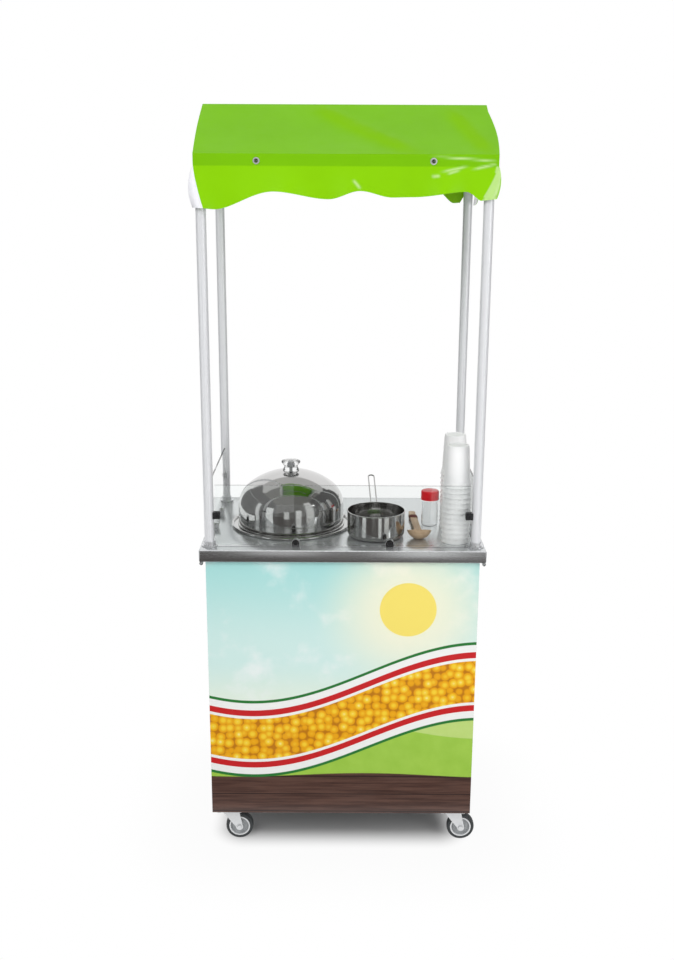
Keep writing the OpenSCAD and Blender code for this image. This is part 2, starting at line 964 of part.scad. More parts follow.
module canopy_roof() {
    outer = 2 * (cover_x + cover_t);
    inner = 2 * cover_x;
    color("yellowgreen")
        difference() {
            translate([-outer / 2, 0, 0])
                rotate([90, 0, 90])
                    linear_extrude(outer)
                        roof_profile(cover_t);
            translate([-inner / 2, 0, -over])
                rotate([90, 0, 90])
                    linear_extrude(inner)
                        union() {
                            roof_profile(0);
                            translate([0, over])
                                roof_profile(0);
                        }
            screw_bores(cover_screw_r + seat_gap, cover_y);
        }
}

module canopy_screws() {
    color("silver")
        for (x = [-cover_screw_x, cover_screw_x], side = [-1, 1])
            translate([x, side * (cover_y + cover_t), rail_z + cover_screw_z])
                rotate([-90 * side, 0, 0]) {
                    cylinder(r = cover_washer_r, h = cover_washer_t);
                    intersection() {
                        translate([0, 0, cover_washer_t - over])
                            sphere(r = cover_screw_head);
                        cylinder(r = cover_screw_head, h = cover_washer_t + cover_screw_head);
                    }
                    translate([0, 0, -cover_screw_l])
                        cylinder(r = cover_screw_r, h = cover_screw_l + over);
                }
}

// Wave of the folds at a place along a flap, from -1 to 1
function fold_wave(x) = cos(360 * (x - hem_shift) / hem_pitch);

// Share of the extra drop at a place along a flap, which grows towards its left end
function corner_at(s) =
    (1 - cos(180 * min(1, max(0, (-s - corner_from) / (corner_to - corner_from))))) / 2;

// Point of a hanging flap: s runs from -1 to 1 along it, v from 0 to 1 down it
function flap_point(s, v, top, taper, drop, t) =
    let (x = s * top / 2)
    [
        x - s * taper * v,
        t - v * (fold_depth * (1 + fold_wave(x)) / 2 + cover_t),
        -v * (drop + corner_drop * corner_at(s) - hem_swing * fold_wave(x))
    ];

// Hanging flap with folds that deepen towards its hem, facing -Y
module flap(top, taper, cols, drop) {
    rows = flap_rows;
    grid = [
        for (t = [0, cover_t], j = [0 : rows], i = [0 : cols])
            flap_point(2 * i / cols - 1, j / rows, top, taper, drop, t)
    ];
    back = (rows + 1) * (cols + 1);
    function at(i, j) = j * (cols + 1) + i;
    faces = [
        for (j = [0 : rows - 1], i = [0 : cols - 1])
            each [
                [at(i, j), at(i + 1, j), at(i + 1, j + 1)],
                [at(i, j), at(i + 1, j + 1), at(i, j + 1)],
                [back + at(i, j), back + at(i + 1, j + 1), back + at(i + 1, j)],
                [back + at(i, j), back + at(i, j + 1), back + at(i + 1, j + 1)]
            ],
        for (i = [0 : cols - 1])
            each [
                [at(i, 0), back + at(i, 0), back + at(i + 1, 0)],
                [at(i, 0), back + at(i + 1, 0), at(i + 1, 0)],
                [at(i, rows), at(i + 1, rows), back + at(i + 1, rows)],
                [at(i, rows), back + at(i + 1, rows), back + at(i, rows)]
            ],
        for (j = [0 : rows - 1])
            each [
                [back + at(0, j), at(0, j), at(0, j + 1)],
                [back + at(0, j), at(0, j + 1), back + at(0, j + 1)],
                [at(cols, j), back + at(cols, j), back + at(cols, j + 1)],
                [at(cols, j), back + at(cols, j + 1), at(cols, j + 1)]
            ]
    ];
    polyhedron(points = grid, faces = faces);
}

module canopy_valance() {
    color("lawngreen") {
        for (turn = [0, 180])
            rotate([0, 0, turn])
                translate([0, -cover_y - cover_t, rail_z])
                    flap(2 * (cover_x - flap_edge), flap_taper, flap_cols, turn > 0 ? back_drop : valance_drop);
        for (turn = [90, 270])
            rotate([0, 0, turn])
                translate([0, -cover_x - cover_t, rail_z])
                    flap(2 * (cover_y - flap_edge), 0, side_cols, valance_drop);
    }
}

module front_glass() {
    half = post_x - post_r - glass_side_gap;
    color("lightcyan", 0.4)
        span([-half, half], [-post_y - glass_t / 2, glass_t / 2 - post_y], [glass_z, glass_z + glass_h]);
}

module side_glasses() {
    half = post_y - post_r - glass_side_gap;
    color("lightcyan", 0.4)
        for (x = [-post_x, post_x])
            span([x - glass_t / 2, x + glass_t / 2], [-half, half], [glass_z, glass_z + glass_h]);
}

// Round-topped foot with a slot for a panel that runs along X
module glass_foot() {
    difference() {
        rotate([90, 0, 0])
            linear_extrude(foot_d, center = true)
                union() {
                    translate([-foot_w / 2, 0])
                        square([foot_w, foot_w / 2]);
                    translate([0, foot_w / 2])
                        circle(d = foot_w);
                }
        span(
            [-foot_w, foot_w],
            [-glass_t / 2 - slip_gap, glass_t / 2 + slip_gap],
            [glass_floor, foot_w + over]
        );
        translate([0, foot_screw_depth - foot_d / 2, foot_w / 2])
            rotate([90, 0, 0])
                cylinder(r = foot_screw_r, h = foot_d);
    }
}

module glass_feet() {
    color("silver")
        translate([0, 0, worktop_z]) {
            for (x = [-foot_x, foot_x])
                translate([x, -post_y, 0])
                    glass_foot();
            for (side = [-1, 1], y = [-foot_y, foot_y])
                translate([side * post_x, y, 0])
                    rotate([0, 0, 90 * side])
                        glass_foot();
        }
}

// Forked clamp on a post, with its slot open towards +X
module post_clamp() {
    difference() {
        span([post_r - clamp_bite, post_r + clamp_l], [-clamp_w / 2, clamp_w / 2], [-clamp_h / 2, clamp_h / 2]);
        cylinder(r = post_r + slip_gap, h = clamp_h + 2 * over, center = true);
        span(
            [post_r + glass_side_gap - slip_gap, post_r + clamp_l + over],
            [-glass_t / 2 - slip_gap, glass_t / 2 + slip_gap],
            [-clamp_h, clamp_h]
        );
    }
}

module glass_clamps() {
    color("black")
        for (side = [0, 1])
            mirror([side, 0, 0]) {
                translate([-post_x, -post_y, clamp_z])
                    post_clamp();
                translate([-post_x, -post_y, clamp_z])
                    rotate([0, 0, 90])
                        post_clamp();
                translate([-post_x, post_y, clamp_z])
                    rotate([0, 0, -90])
                        post_clamp();
            }
}

module castor_plates() {
    color("silver")
        at_castors()
            difference() {
                union() {
                    translate([0, 0, castor_h - plate_t / 2])
                        cube([plate_w, plate_w, plate_t], center = true);
                    translate([0, 0, fork_top + seat_gap])
                        cylinder(r = race_r, h = race_h + over);
                    translate([0, 0, fork_top - crown_t - seat_gap - king_head_t])
                        cylinder(r = king_head_r, h = king_head_t);
                    translate([0, 0, fork_top - crown_t - seat_gap - over])
                        cylinder(r = king_r, h = crown_t + 2 * seat_gap + 2 * over);
                }
                bolt_spots()
                    translate([0, 0, castor_h - plate_t - over])
                        cylinder(r = plate_bolt_r + slip_gap, h = plate_t + 2 * over);
            }
}

module castor_bolts() {
    color("silver")
        at_castors()
            bolt_spots()
                translate([0, 0, castor_h - plate_t]) {
                    cylinder(r = plate_bolt_r, h = plate_t + floor_t);
                    translate([0, 0, -plate_bolt_head_t])
                        cylinder(r = plate_bolt_head, h = plate_bolt_head_t, $fn = 6);
                }
}

// Side view of one fork leg, from the swivel axis at x = 0
module leg_profile() {
    translate([trail, wheel_r])
        circle(r = fork_boss);
    polygon([
        [-fork_back, fork_top],
        [trail, fork_top],
        [trail, fork_top - leg_drop],
        [trail + fork_boss, wheel_r],
        [trail - fork_boss, wheel_r],
        [-fork_back, fork_top - leg_drop]
    ]);
}

module fork_body() {
    half = leg_in + leg_t;
    difference() {
        union() {
            span([-fork_back, trail], [-half, half], [fork_top - crown_t, fork_top]);
            for (y = [-half, leg_in])
                translate([0, y + leg_t, 0])
                    rotate([90, 0, 0])
                        linear_extrude(leg_t)
                            leg_profile();
        }
        translate([0, 0, fork_top - crown_t - over])
            cylinder(r = king_r + running_gap, h = crown_t + 2 * over);
        translate([trail, 0, wheel_r])
            rotate([90, 0, 0])
                cylinder(r = axle_r + slip_gap, h = 2 * half + 2 * over, center = true);
    }
}

// Axle bolt with its head and nut outside the fork legs
module axle_bolt() {
    half = leg_in + leg_t + slip_gap;
    translate([trail, 0, wheel_r])
        rotate([90, 0, 0]) {
            cylinder(r = axle_r, h = 2 * half + axle_head_t, center = true);
            for (side = [0, 1])
                mirror([0, 0, side])
                    translate([0, 0, half])
                        cylinder(r = axle_head_r, h = axle_head_t, $fn = 6);
        }
}

module castor_fork(c) {
    color("silver")
        at_castor(c) {
            fork_body();
            axle_bolt();
        }
}

module wheel_hub(c) {
    boss = wheel_w / 2 + leg_gap - seat_gap;
    rim_half = wheel_w / 2 - hub_rim_in;
    bore = axle_r + running_gap;
    color("lightgray")
        at_castor(c)
            translate([trail, 0, wheel_r])
                rotate([90, 0, 0])
                    rotate_extrude() {
                        translate([bore, -boss])
                            square([hub_boss_r - bore, 2 * boss]);
                        translate([bore, -hub_web])
                            square([hub_rim_r - bore + over, 2 * hub_web]);
                        translate([hub_rim_r, -rim_half])
                            square([tyre_seat_r - hub_rim_r, 2 * rim_half]);
                    }
}

module wheel_tyre(c) {
    half = wheel_w / 2;
    inner = tyre_seat_r + running_gap;
    color("dimgray")
        at_castor(c)
            translate([trail, 0, wheel_r])
                rotate([90, 0, 0])
                    rotate_extrude() {
                        translate([inner, -half])
                            square([wheel_r - tyre_round - inner, wheel_w]);
                        translate([inner, tyre_round - half])
                            square([wheel_r - inner, wheel_w - 2 * tyre_round]);
                        for (y = [tyre_round - half, half - tyre_round])
                            translate([wheel_r - tyre_round, y])
                                circle(r = tyre_round);
                    }
}

// Right half of the lid's side view, drawn in by an inset
module lid_half(inset) {
    knuckle = [lid_r - lid_shoulder, lid_skirt];
    reach = 2 * crown_r;
    aim = atan2(lid_skirt - crown_z, lid_r - lid_shoulder);
    translate([0, -inset])
        square([lid_r - inset, lid_skirt + inset]);
    intersection() {
        translate(knuckle)
            circle(r = lid_shoulder - inset);
        translate([0, lid_skirt - over])
            square([lid_r, lid_rise]);
    }
    intersection() {
        translate([0, crown_z])
            circle(r = crown_r - inset);
        polygon([
            [0, crown_z],
            [reach * cos(aim), crown_z + reach * sin(aim)],
            [0, crown_z + reach]
        ]);
        translate([0, lid_skirt - over])
            square([lid_r, lid_rise + 2 * over]);
    }
}

module lid_dome() {
    color("silver")
        translate([pot_x, pot_y, seat_z])
            rotate_extrude()
                difference() {
                    union() {
                        lid_half(0);
                        translate([lid_r, lid_bead])
                            circle(r = lid_bead);
                        translate([lid_r, lid_line_z])
                            circle(r = lid_line_r);
                    }
                    lid_half(lid_wall);
                    square([lid_screw_r + slip_gap, lid_top + over]);
                }
}

module lid_knob() {
    flare = knob_foot - knob_waist;
    neck = [knob_waist, knob_lip + flare + over];
    rim = [knob_r - knob_round, knob_h - knob_round + over];
    reach = norm(rim - neck);
    swing = asin((knob_round - over) / reach);
    lean = atan2(rim[1] - neck[1], rim[0] - neck[0]) - swing;
    side = reach * cos(swing);
    color("whitesmoke", 0.5)
        translate([pot_x, pot_y, seat_z])
            rotate_extrude()
                difference() {
                    translate([0, lid_top - over]) {
                        square([knob_foot, knob_lip + over]);
                        difference() {
                            square([knob_foot, knob_lip + over + flare]);
                            translate([knob_foot, knob_lip + over + flare])
                                circle(r = flare);
                        }
                        polygon([
                            [0, 0],
                            [knob_waist, 0],
                            neck,
                            neck + side * [cos(lean), sin(lean)],
                            rim,
                            [0, rim[1]]
                        ]);
                        square([rim[0], knob_h + over]);
                        translate(rim)
                            circle(r = knob_round);
                    }
                    translate([0, crown_z])
                        circle(r = crown_r + running_gap, $fn = 360);
                    square([lid_screw_r + slip_gap, lid_top + insert_z + over]);
                    translate([0, lid_top + insert_z - slip_gap])
                        square([insert_r + slip_gap, insert_h + 2 * slip_gap]);
                }
}

module lid_screw() {
    inner_top = lid_top - lid_wall - 2 * seat_gap;
    color("silver")
        translate([pot_x, pot_y, seat_z])
            rotate_extrude() {
                translate([0, inner_top - lid_screw_head_t])
                    square([lid_screw_head, lid_screw_head_t]);
                translate([0, inner_top - over])
                    square([lid_screw_r, insert_z + lid_wall + 2 * seat_gap + 2 * over]);
                translate([0, lid_top + insert_z])
                    square([insert_r, insert_h]);
            }
}

// Right half of the pan's side view, drawn in by an inset
module pan_half(inset) {
    radius = pan_r - inset;
    corner = pan_corner - inset;
    translate([0, inset])
        square([radius - corner, pan_h]);
    translate([0, pan_corner])
        square([radius, pan_h]);
    translate([pan_r - pan_corner, pan_corner])
        circle(r = corner);
}

module pan() {
    color("silver")
        translate([pan_x, pan_y, worktop_z + seat_gap])
            rotate_extrude() {
                difference() {
                    intersection() {
                        pan_half(0);
                        square([pan_r, pan_h]);
                    }
                    pan_half(pan_wall);
                }
                translate([pan_r, pan_h - pan_bead])
                    circle(r = pan_bead);
            }
}

module pan_handle() {
    run = handle_l - handle_w / 2;
    root = pan_r / 2;
    color("silver")
        translate([pan_x, pan_y, worktop_z + seat_gap])
            rotate([0, 0, pan_turn])
                difference() {
                    translate([0, pan_r, pan_handle_z])
                        rotate([handle_slope, 0, 0]) {
                            for (x = [-handle_w / 2, handle_w / 2])
                                translate([x, -root, 0])
                                    rotate([-90, 0, 0])
                                        cylinder(r = wire_r, h = run + root);
                            translate([0, run, 0])
                                rotate_extrude(angle = 180)
                                    translate([handle_w / 2, 0])
                                        circle(r = wire_r);
                        }
                    translate([0, 0, -over])
                        cylinder(r = pan_r + running_gap, h = 2 * pan_h);
                }
}

// Round bowl of the spoon, about the middle of its ball
module spoon_bowl() {
    rotate_extrude()
        intersection() {
            difference() {
                circle(r = ball_r);
                circle(r = ball_r - spoon_wall);
            }
            translate([0, -ball_r])
                square([ball_r, bowl_depth]);
        }
}

// Flat round-ended handle of the spoon, from the bowl's edge along +Y
module spoon_handle() {
    tip = spoon_handle_w / 2;
    straight = spoon_l - tip;
    linear_extrude(spoon_handle_t)
        difference() {
            union() {
                translate([-tip, -2 * spoon_wall])
                    square([2 * tip, straight + 2 * spoon_wall]);
                translate([0, straight])
                    circle(r = tip);
            }
            translate([0, straight])
                circle(r = spoon_hole_r);
        }
}

module spoon() {
    color("burlywood")
        translate([spoon_x, spoon_y, worktop_z + seat_gap])
            rotate([0, 0, spoon_turn])
                difference() {
                    union() {
                        translate([0, 0, ball_r])
                            rotate([-bowl_tilt, 0, 0])
                                spoon_bowl();
                        translate([0, spoon_root_y, spoon_root_z])
                            rotate([-spoon_slope, 0, 0])
                                spoon_handle();
                    }
                    translate([0, 0, ball_r])
                        sphere(r = ball_r - spoon_wall);
                }
}

// Right half of the bottle's side view, drawn in by an inset
module bottle_half(inset) {
    body = bottle_r - inset;
    round_in = bottle_round - inset;
    translate([0, inset])
        square([body - round_in, bottle_h - 2 * inset]);
    translate([0, bottle_round])
        square([body, bottle_h - 2 * bottle_round]);
    for (z = [bottle_round, bottle_h - bottle_round])
        translate([bottle_r - bottle_round, z])
            circle(r = round_in);
    translate([0, bottle_h / 2])
        square([neck_r - inset, bottle_h / 2 + neck_h]);
}

module bottle() {
    color("whitesmoke", 0.5)
        translate([bottle_x, bottle_y, worktop_z + seat_gap])
            rotate_extrude()
                intersection() {
                    difference() {
                        bottle_half(0);
                        bottle_half(bottle_wall);
                    }
                    square([bottle_r, bottle_h + neck_h - seat_gap]);
                }
}

module bottle_cap() {
    inner = neck_r + seat_gap;
    color("crimson")
        translate([bottle_x, bottle_y, worktop_z + bottle_h + 2 * seat_gap])
            rotate_extrude()
                difference() {
                    union() {
                        square([cap_r, cap_h - cap_round]);
                        square([cap_r - cap_round, cap_h]);
                        translate([cap_r - cap_round, cap_h - cap_round])
                            circle(r = cap_round);
                    }
                    translate([0, -over])
                        square([inner, cap_h - cap_wall + over]);
                }
}

// Nested cups standing on their mouths, as one ribbed hollow
module cup_stack(count) {
    slope = (cup_r - cup_rim - cup_foot_r) / cup_h;
    top = (count - 1) * cup_step;
    outside = [
        for (i = [0 : count - 1])
            each [
                [cup_r, i * cup_step],
                [cup_r, i * cup_step + cup_lip],
                [cup_r - cup_rim - slope * cup_lip, i * cup_step + cup_lip],
                i < count - 1
                    ? [cup_r - cup_rim - slope * cup_step, (i + 1) * cup_step]
                    : [cup_foot_r, top + cup_h]
            ]
    ];
    inside = [
        [0, top + cup_h],
        [0, top + cup_h - cup_wall],
        [cup_foot_r - cup_wall, top + cup_h - cup_wall],
        [cup_foot_r - cup_wall, cup_h - cup_wall],
        [cup_r - cup_rim - cup_wall, 0]
    ];
    rotate_extrude()
        polygon(concat(outside, inside));
}

module cup_stack_front() {
    color("white", 0.8)
        translate([cups_front_x, cups_front_y, worktop_z + seat_gap])
            cup_stack(cup_count);
}

module cup_stack_rear() {
    color("white", 0.8)
        translate([cups_back_x, cups_back_y, worktop_z + seat_gap])
            cup_stack(cup_count);
}

// Moving half of a hinge whose leaf lies towards -X, from the hinge's lower end
module door_leaf() {
    third = hinge_h / 3;
    translate([0, 0, third + knuckle_gap]) {
        cylinder(r = knuckle_r, h = third - 2 * knuckle_gap);
        span([-leaf_w, 0], [-knuckle_r, leaf_t - knuckle_r], [0, third - 2 * knuckle_gap]);
    }
}

// Right-hand door as a folded tray with its hinge halves
module door() {
    inner = [door_gap / 2 + door_sheet, door_edge - door_sheet];
    difference() {
        union() {
            difference() {
                span([door_gap / 2, door_edge], [back_y - door_t, back_y], [door_z, door_top]);
                span(
                    inner,
                    [back_y - door_t - over, back_y - door_sheet],
                    [door_z + door_sheet, door_top - door_sheet]
                );
            }
            for (z = hinge_spots)
                translate([hinge_x, hinge_y, z - hinge_h / 2])
                    door_leaf();
        }
        for (z = hinge_spots)
            translate([hinge_x, hinge_y, z - hinge_h / 2])
                cylinder(r = hinge_pin_r + running_gap, h = hinge_h);
    }
}

module door_left() {
    color("gainsboro")
        mirror([1, 0, 0])
            door();
}

module door_right() {
    color("gainsboro")
        door();
}

// Turned pull on a door's outer face
module door_pull(side) {
    color("black")
        translate([side * pull_x, back_y, (door_z + door_top) / 2])
            rotate([-90, 0, 0])
                rotate_extrude() {
                    square([pull_neck, pull_l]);
                    translate([0, pull_l - pull_head])
                        square([pull_r - pull_head / 2, pull_head]);
                    translate([pull_r - pull_head / 2, pull_l - pull_head / 2])
                        circle(d = pull_head);
                }
}

cabinet_floor();
corner_uprights();
base_rails();
top_rails();
front_panel();
side_panels();
control_panel();
hinge_leaves();
worktop();
steam_pot();
steam_tray();
heating_element();
element_clamp();
thermostat_body();
switch_housing();
power_inlet();
post_sockets();
posts();
roof_corners();
roof_rails();
gable_straps();
ridge_bar();
canopy_roof();
canopy_valance();
canopy_screws();
front_glass();
side_glasses();
glass_feet();
glass_clamps();
castor_plates();
castor_bolts();
castor_fork(corners[0]);  // castor_fork_front_left
castor_fork(corners[1]);  // castor_fork_front_right
castor_fork(corners[2]);  // castor_fork_rear_left
castor_fork(corners[3]);  // castor_fork_rear_right
wheel_hub(corners[0]);  // wheel_hub_front_left
wheel_hub(corners[1]);  // wheel_hub_front_right
wheel_hub(corners[2]);  // wheel_hub_rear_left
wheel_hub(corners[3]);  // wheel_hub_rear_right
wheel_tyre(corners[0]);  // wheel_tyre_front_left
wheel_tyre(corners[1]);  // wheel_tyre_front_right
wheel_tyre(corners[2]);  // wheel_tyre_rear_left
wheel_tyre(corners[3]);  // wheel_tyre_rear_right
lid_dome();
lid_knob();
lid_screw();
pan();
pan_handle();
spoon();
bottle();
bottle_cap();
cup_stack_front();
cup_stack_rear();
door_left();
door_right();
door_pull(-1);  // door_pull_left
door_pull(1);  // door_pull_right
thermostat_shaft();
thermostat_knob();
switch_rocker();
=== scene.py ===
import json
from functools import partial
from math import atan2, cos, exp, hypot, pi, radians, sin, sqrt

import bpy
from mathutils import Matrix, Vector

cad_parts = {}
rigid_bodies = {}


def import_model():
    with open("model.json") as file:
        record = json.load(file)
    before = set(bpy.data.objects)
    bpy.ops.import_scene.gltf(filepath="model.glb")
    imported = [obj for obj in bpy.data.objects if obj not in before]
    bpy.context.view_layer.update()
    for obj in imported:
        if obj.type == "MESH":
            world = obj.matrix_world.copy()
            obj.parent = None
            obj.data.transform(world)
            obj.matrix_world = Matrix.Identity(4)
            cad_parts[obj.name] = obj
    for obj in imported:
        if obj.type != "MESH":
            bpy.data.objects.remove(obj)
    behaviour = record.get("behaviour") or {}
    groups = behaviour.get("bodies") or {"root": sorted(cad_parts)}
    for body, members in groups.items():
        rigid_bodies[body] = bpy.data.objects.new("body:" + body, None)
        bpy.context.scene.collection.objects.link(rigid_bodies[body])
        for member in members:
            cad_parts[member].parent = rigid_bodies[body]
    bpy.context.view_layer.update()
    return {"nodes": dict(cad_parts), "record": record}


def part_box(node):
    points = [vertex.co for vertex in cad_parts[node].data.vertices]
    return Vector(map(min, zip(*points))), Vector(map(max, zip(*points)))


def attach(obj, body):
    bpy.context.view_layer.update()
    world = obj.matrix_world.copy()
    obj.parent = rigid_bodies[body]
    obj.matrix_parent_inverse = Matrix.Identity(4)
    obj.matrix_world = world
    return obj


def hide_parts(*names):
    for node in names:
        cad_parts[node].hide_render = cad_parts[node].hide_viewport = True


for leftover in list(bpy.data.objects):
    bpy.data.objects.remove(leftover)

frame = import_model()
nodes = frame["nodes"]
scene = bpy.context.scene
corners = ("front_left", "front_right", "rear_left", "rear_right")
print("frame loaded:", len(nodes), "nodes")


# camera, floor and light
view = {
    "place": (-0.0153, -2.8558, 1.7219),
    "down": 14.69,    # degrees below level
    "roll": 0.254,
    "lens": 40.58,    # mm
    "sensor": 36.0,   # mm
}
studio = {
    "floorSize": 30.0,
    "floorColor": (0.5, 0.5, 0.5),
    "shadowInset": 0.085,  # metres inside the cabinet's foot where the shadow starts to fade
    "shadowEdge": 0.11,    # metres from there to nearly white
    "edgeShare": 0.96,     # how white that is
    "shadowReach": 0.42,   # metres from there to plain white
    "skyFill": 0.46,
    "softboxes": (
        # name, place, aim, width, height, watts, seen in reflections
        ("keyBox", (-1.5, -3.2, 3.6), (0.0, 0.0, 1.0), 2.2, 2.2, 68.0, False),
        ("fillBox", (2.6, -2.6, 1.9), (0.0, 0.0, 0.9), 1.4, 2.2, 28.0, True),
        ("topBox", (0.3, 0.7, 4.2), (0.0, 0.0, 1.0), 2.6, 2.0, 22.0, False),
        ("bounceBox", (0.5, -2.5, 0.3), (0.0, 0.0, 1.7), 2.6, 1.6, 22.0, False),
    ),
    # dim walls and bright strips of the studio, glowing panels which only reflections see: painted reflections
    "walls": (
        # name, place, width, height, turn in degrees about X and Z, colour
        ("wallFront", (0.0, -6.0, 3.0), 14.0, 6.0, 90.0, 0.0, (0.13, 0.125, 0.12)),
        ("wallLeft", (-3.6, -0.85, 3.0), 10.3, 6.0, 90.0, 90.0, (0.1, 0.1, 0.1)),
        ("wallRight", (3.6, -0.85, 3.0), 10.3, 6.0, 90.0, 90.0, (0.1, 0.1, 0.1)),
        ("ceiling", (0.0, -2.3, 5.6), 12.0, 7.4, 0.0, 0.0, (0.17, 0.17, 0.16)),
        ("ceilingBack", (0.0, 2.85, 5.6), 12.0, 2.9, 0.0, 0.0, (0.52, 0.52, 0.51)),
        ("floorLeft", (-2.2, -3.4, 0.02), 3.6, 6.0, 0.0, 0.0, (0.066, 0.057, 0.054)),
        ("floorMiddle", (0.0, -3.4, 0.02), 0.8, 6.0, 0.0, 0.0, (0.092, 0.083, 0.078)),
        ("floorRight", (2.2, -3.4, 0.02), 3.6, 6.0, 0.0, 0.0, (0.105, 0.097, 0.095)),
        ("stripFarLeft", (-2.6, -0.7, 1.1), 0.45, 2.2, 90.0, -75.0, (0.75, 0.76, 0.76)),
        ("stripLeft", (-2.0, -1.9, 1.0), 0.75, 2.0, 90.0, -46.0, (0.95, 0.96, 0.96)),
        ("stripMiddle", (-0.55, -3.3, 0.8), 0.6, 1.6, 90.0, -9.0, (0.8, 0.8, 0.79)),
        ("stripRight", (0.72, -2.7, 0.9), 0.55, 1.8, 90.0, 15.0, (0.92, 0.92, 0.91)),
        ("stripOuterRight", (1.9, -2.2, 1.9), 0.9, 3.8, 90.0, 40.0, (0.78, 0.78, 0.77)),
        ("stripFarRight", (2.6, -0.6, 1.1), 0.4, 2.2, 90.0, 77.0, (0.8, 0.8, 0.8)),
    ),
}


def setMode(mode, select=""):
    bpy.ops.object.mode_set(mode=mode)
    if select:
        bpy.ops.mesh.select_all(action=select)


def activate(piece):
    bpy.ops.object.select_all(action="DESELECT")
    piece.select_set(True)
    bpy.context.view_layer.objects.active = piece


def camel(name):
    first, *rest = name.split("_")
    return first + "".join(word.capitalize() for word in rest)


def addObject(name, data):
    item = bpy.data.objects.new(name, data)
    scene.collection.objects.link(item)
    return item


def rotation(degrees, axis):
    return Matrix.Rotation(radians(degrees), 4, axis)


cameraData = bpy.data.cameras.new("photoCamera")
cameraData.lens = view["lens"]
cameraData.sensor_width = view["sensor"]
camera = addObject("photoCamera", cameraData)
tilt = rotation(90.0 - view["down"], "X") @ rotation(view["roll"], "Z")
camera.matrix_world = Matrix.Translation(view["place"]) @ tilt
scene.camera = camera
scene.view_settings.view_transform = "Standard"

for boxName, place, aim, width, height, watts, mirrored in studio["softboxes"]:
    lampData = bpy.data.lights.new(boxName, "AREA")
    lampData.shape = "RECTANGLE"
    lampData.size = width
    lampData.size_y = height
    lampData.energy = watts
    lamp = addObject(boxName, lampData)
    lamp.location = place
    lamp.rotation_euler = (Vector(aim) - lamp.location).to_track_quat("-Z", "Y").to_euler()
    lamp.visible_glossy = mirrored
    lamp.visible_transmission = False


# node helpers
def wire(tree, source, socket):
    if isinstance(source, bpy.types.NodeSocket):
        tree.links.new(source, socket)
    else:
        socket.default_value = (*source, 1.0) if socket.type == "RGBA" else source


def newNode(tree, kind, **values):
    node = tree.nodes.new("ShaderNode" + kind)
    for label, value in values.items():
        wire(tree, value, node.inputs[label.replace("_", " ")])
    return node


def calc(tree, operation, first, second=0.0):
    node = newNode(tree, "Math")
    node.operation = operation
    wire(tree, first, node.inputs[0])
    wire(tree, second, node.inputs[1])
    return node.outputs[0]


def fit(tree, value, low, high, toLow=0.0, toHigh=1.0, smooth=False):
    node = newNode(tree, "MapRange", Value=value, From_Min=low, From_Max=high, To_Min=toLow, To_Max=toHigh)
    node.interpolation_type = "SMOOTHSTEP" if smooth else "LINEAR"
    return node.outputs["Result"]


def blendColor(tree, share, first, second):
    node = newNode(tree, "Mix")
    node.data_type = "RGBA"
    for index, value in ((0, share), (6, first), (7, second)):
        wire(tree, value, node.inputs[index])
    return node.outputs[2]


def ramp(tree, value, stops):
    node = newNode(tree, "ValToRGB")
    node.color_ramp.interpolation = "EASE"
    while len(node.color_ramp.elements) < len(stops):
        node.color_ramp.elements.new(0.5)
    for element, (place, color) in zip(node.color_ramp.elements, stops):
        element.position = place
        element.color = (*color, 1.0)
    wire(tree, value, node.inputs[0])
    return node.outputs[0]


def objectPoint(tree, move=(0.0, 0.0, 0.0), scale=(1.0, 1.0, 1.0)):
    coords = newNode(tree, "TexCoord")
    return newNode(tree, "Mapping", Vector=coords.outputs["Object"], Location=move, Scale=scale).outputs["Vector"]


def axesOf(tree, point):
    return newNode(tree, "SeparateXYZ", Vector=point).outputs


def noise(tree, point, scale, detail=3.0, rough=0.5, distortion=0.0):
    node = newNode(tree, "TexNoise", Vector=point, Scale=scale, Detail=detail, Roughness=rough, Distortion=distortion)
    return node.outputs["Fac"]


def bump(tree, shader, height, strength, distance):
    node = newNode(tree, "Bump", Strength=strength, Distance=distance, Height=height)
    wire(tree, node.outputs["Normal"], shader.inputs["Normal"])


def paint(tree, shader, color, rough):
    wire(tree, color, shader.inputs["Base Color"])
    wire(tree, rough, shader.inputs["Roughness"])


def shaded(color, amount):
    return tuple(amount * channel for channel in color)


def newMaterial(name, **constants):
    material = bpy.data.materials.new(name)
    material.use_nodes = True
    shader = material.node_tree.nodes["Principled BSDF"]
    for label, value in constants.items():
        shader.inputs[label.replace("_", " ")].default_value = value
    return material, material.node_tree, shader


def newGroup(name, inputs, outputs):
    group = bpy.data.node_groups.new(name, "ShaderNodeTree")
    for way, labels in (("INPUT", inputs), ("OUTPUT", outputs)):
        for label in labels:
            kind = "NodeSocketVector" if label == "Point" else "NodeSocketFloat"
            group.interface.new_socket(name=label, in_out=way, socket_type=kind)
    return group, group.nodes.new("NodeGroupInput").outputs, group.nodes.new("NodeGroupOutput").inputs


def useGroup(tree, group, rough, **values):
    node = newNode(tree, "Group")
    node.node_tree = group
    for label, value in {"Low": rough[0], "High": rough[1], **values}.items():
        wire(tree, value, node.inputs[label])
    return node.outputs


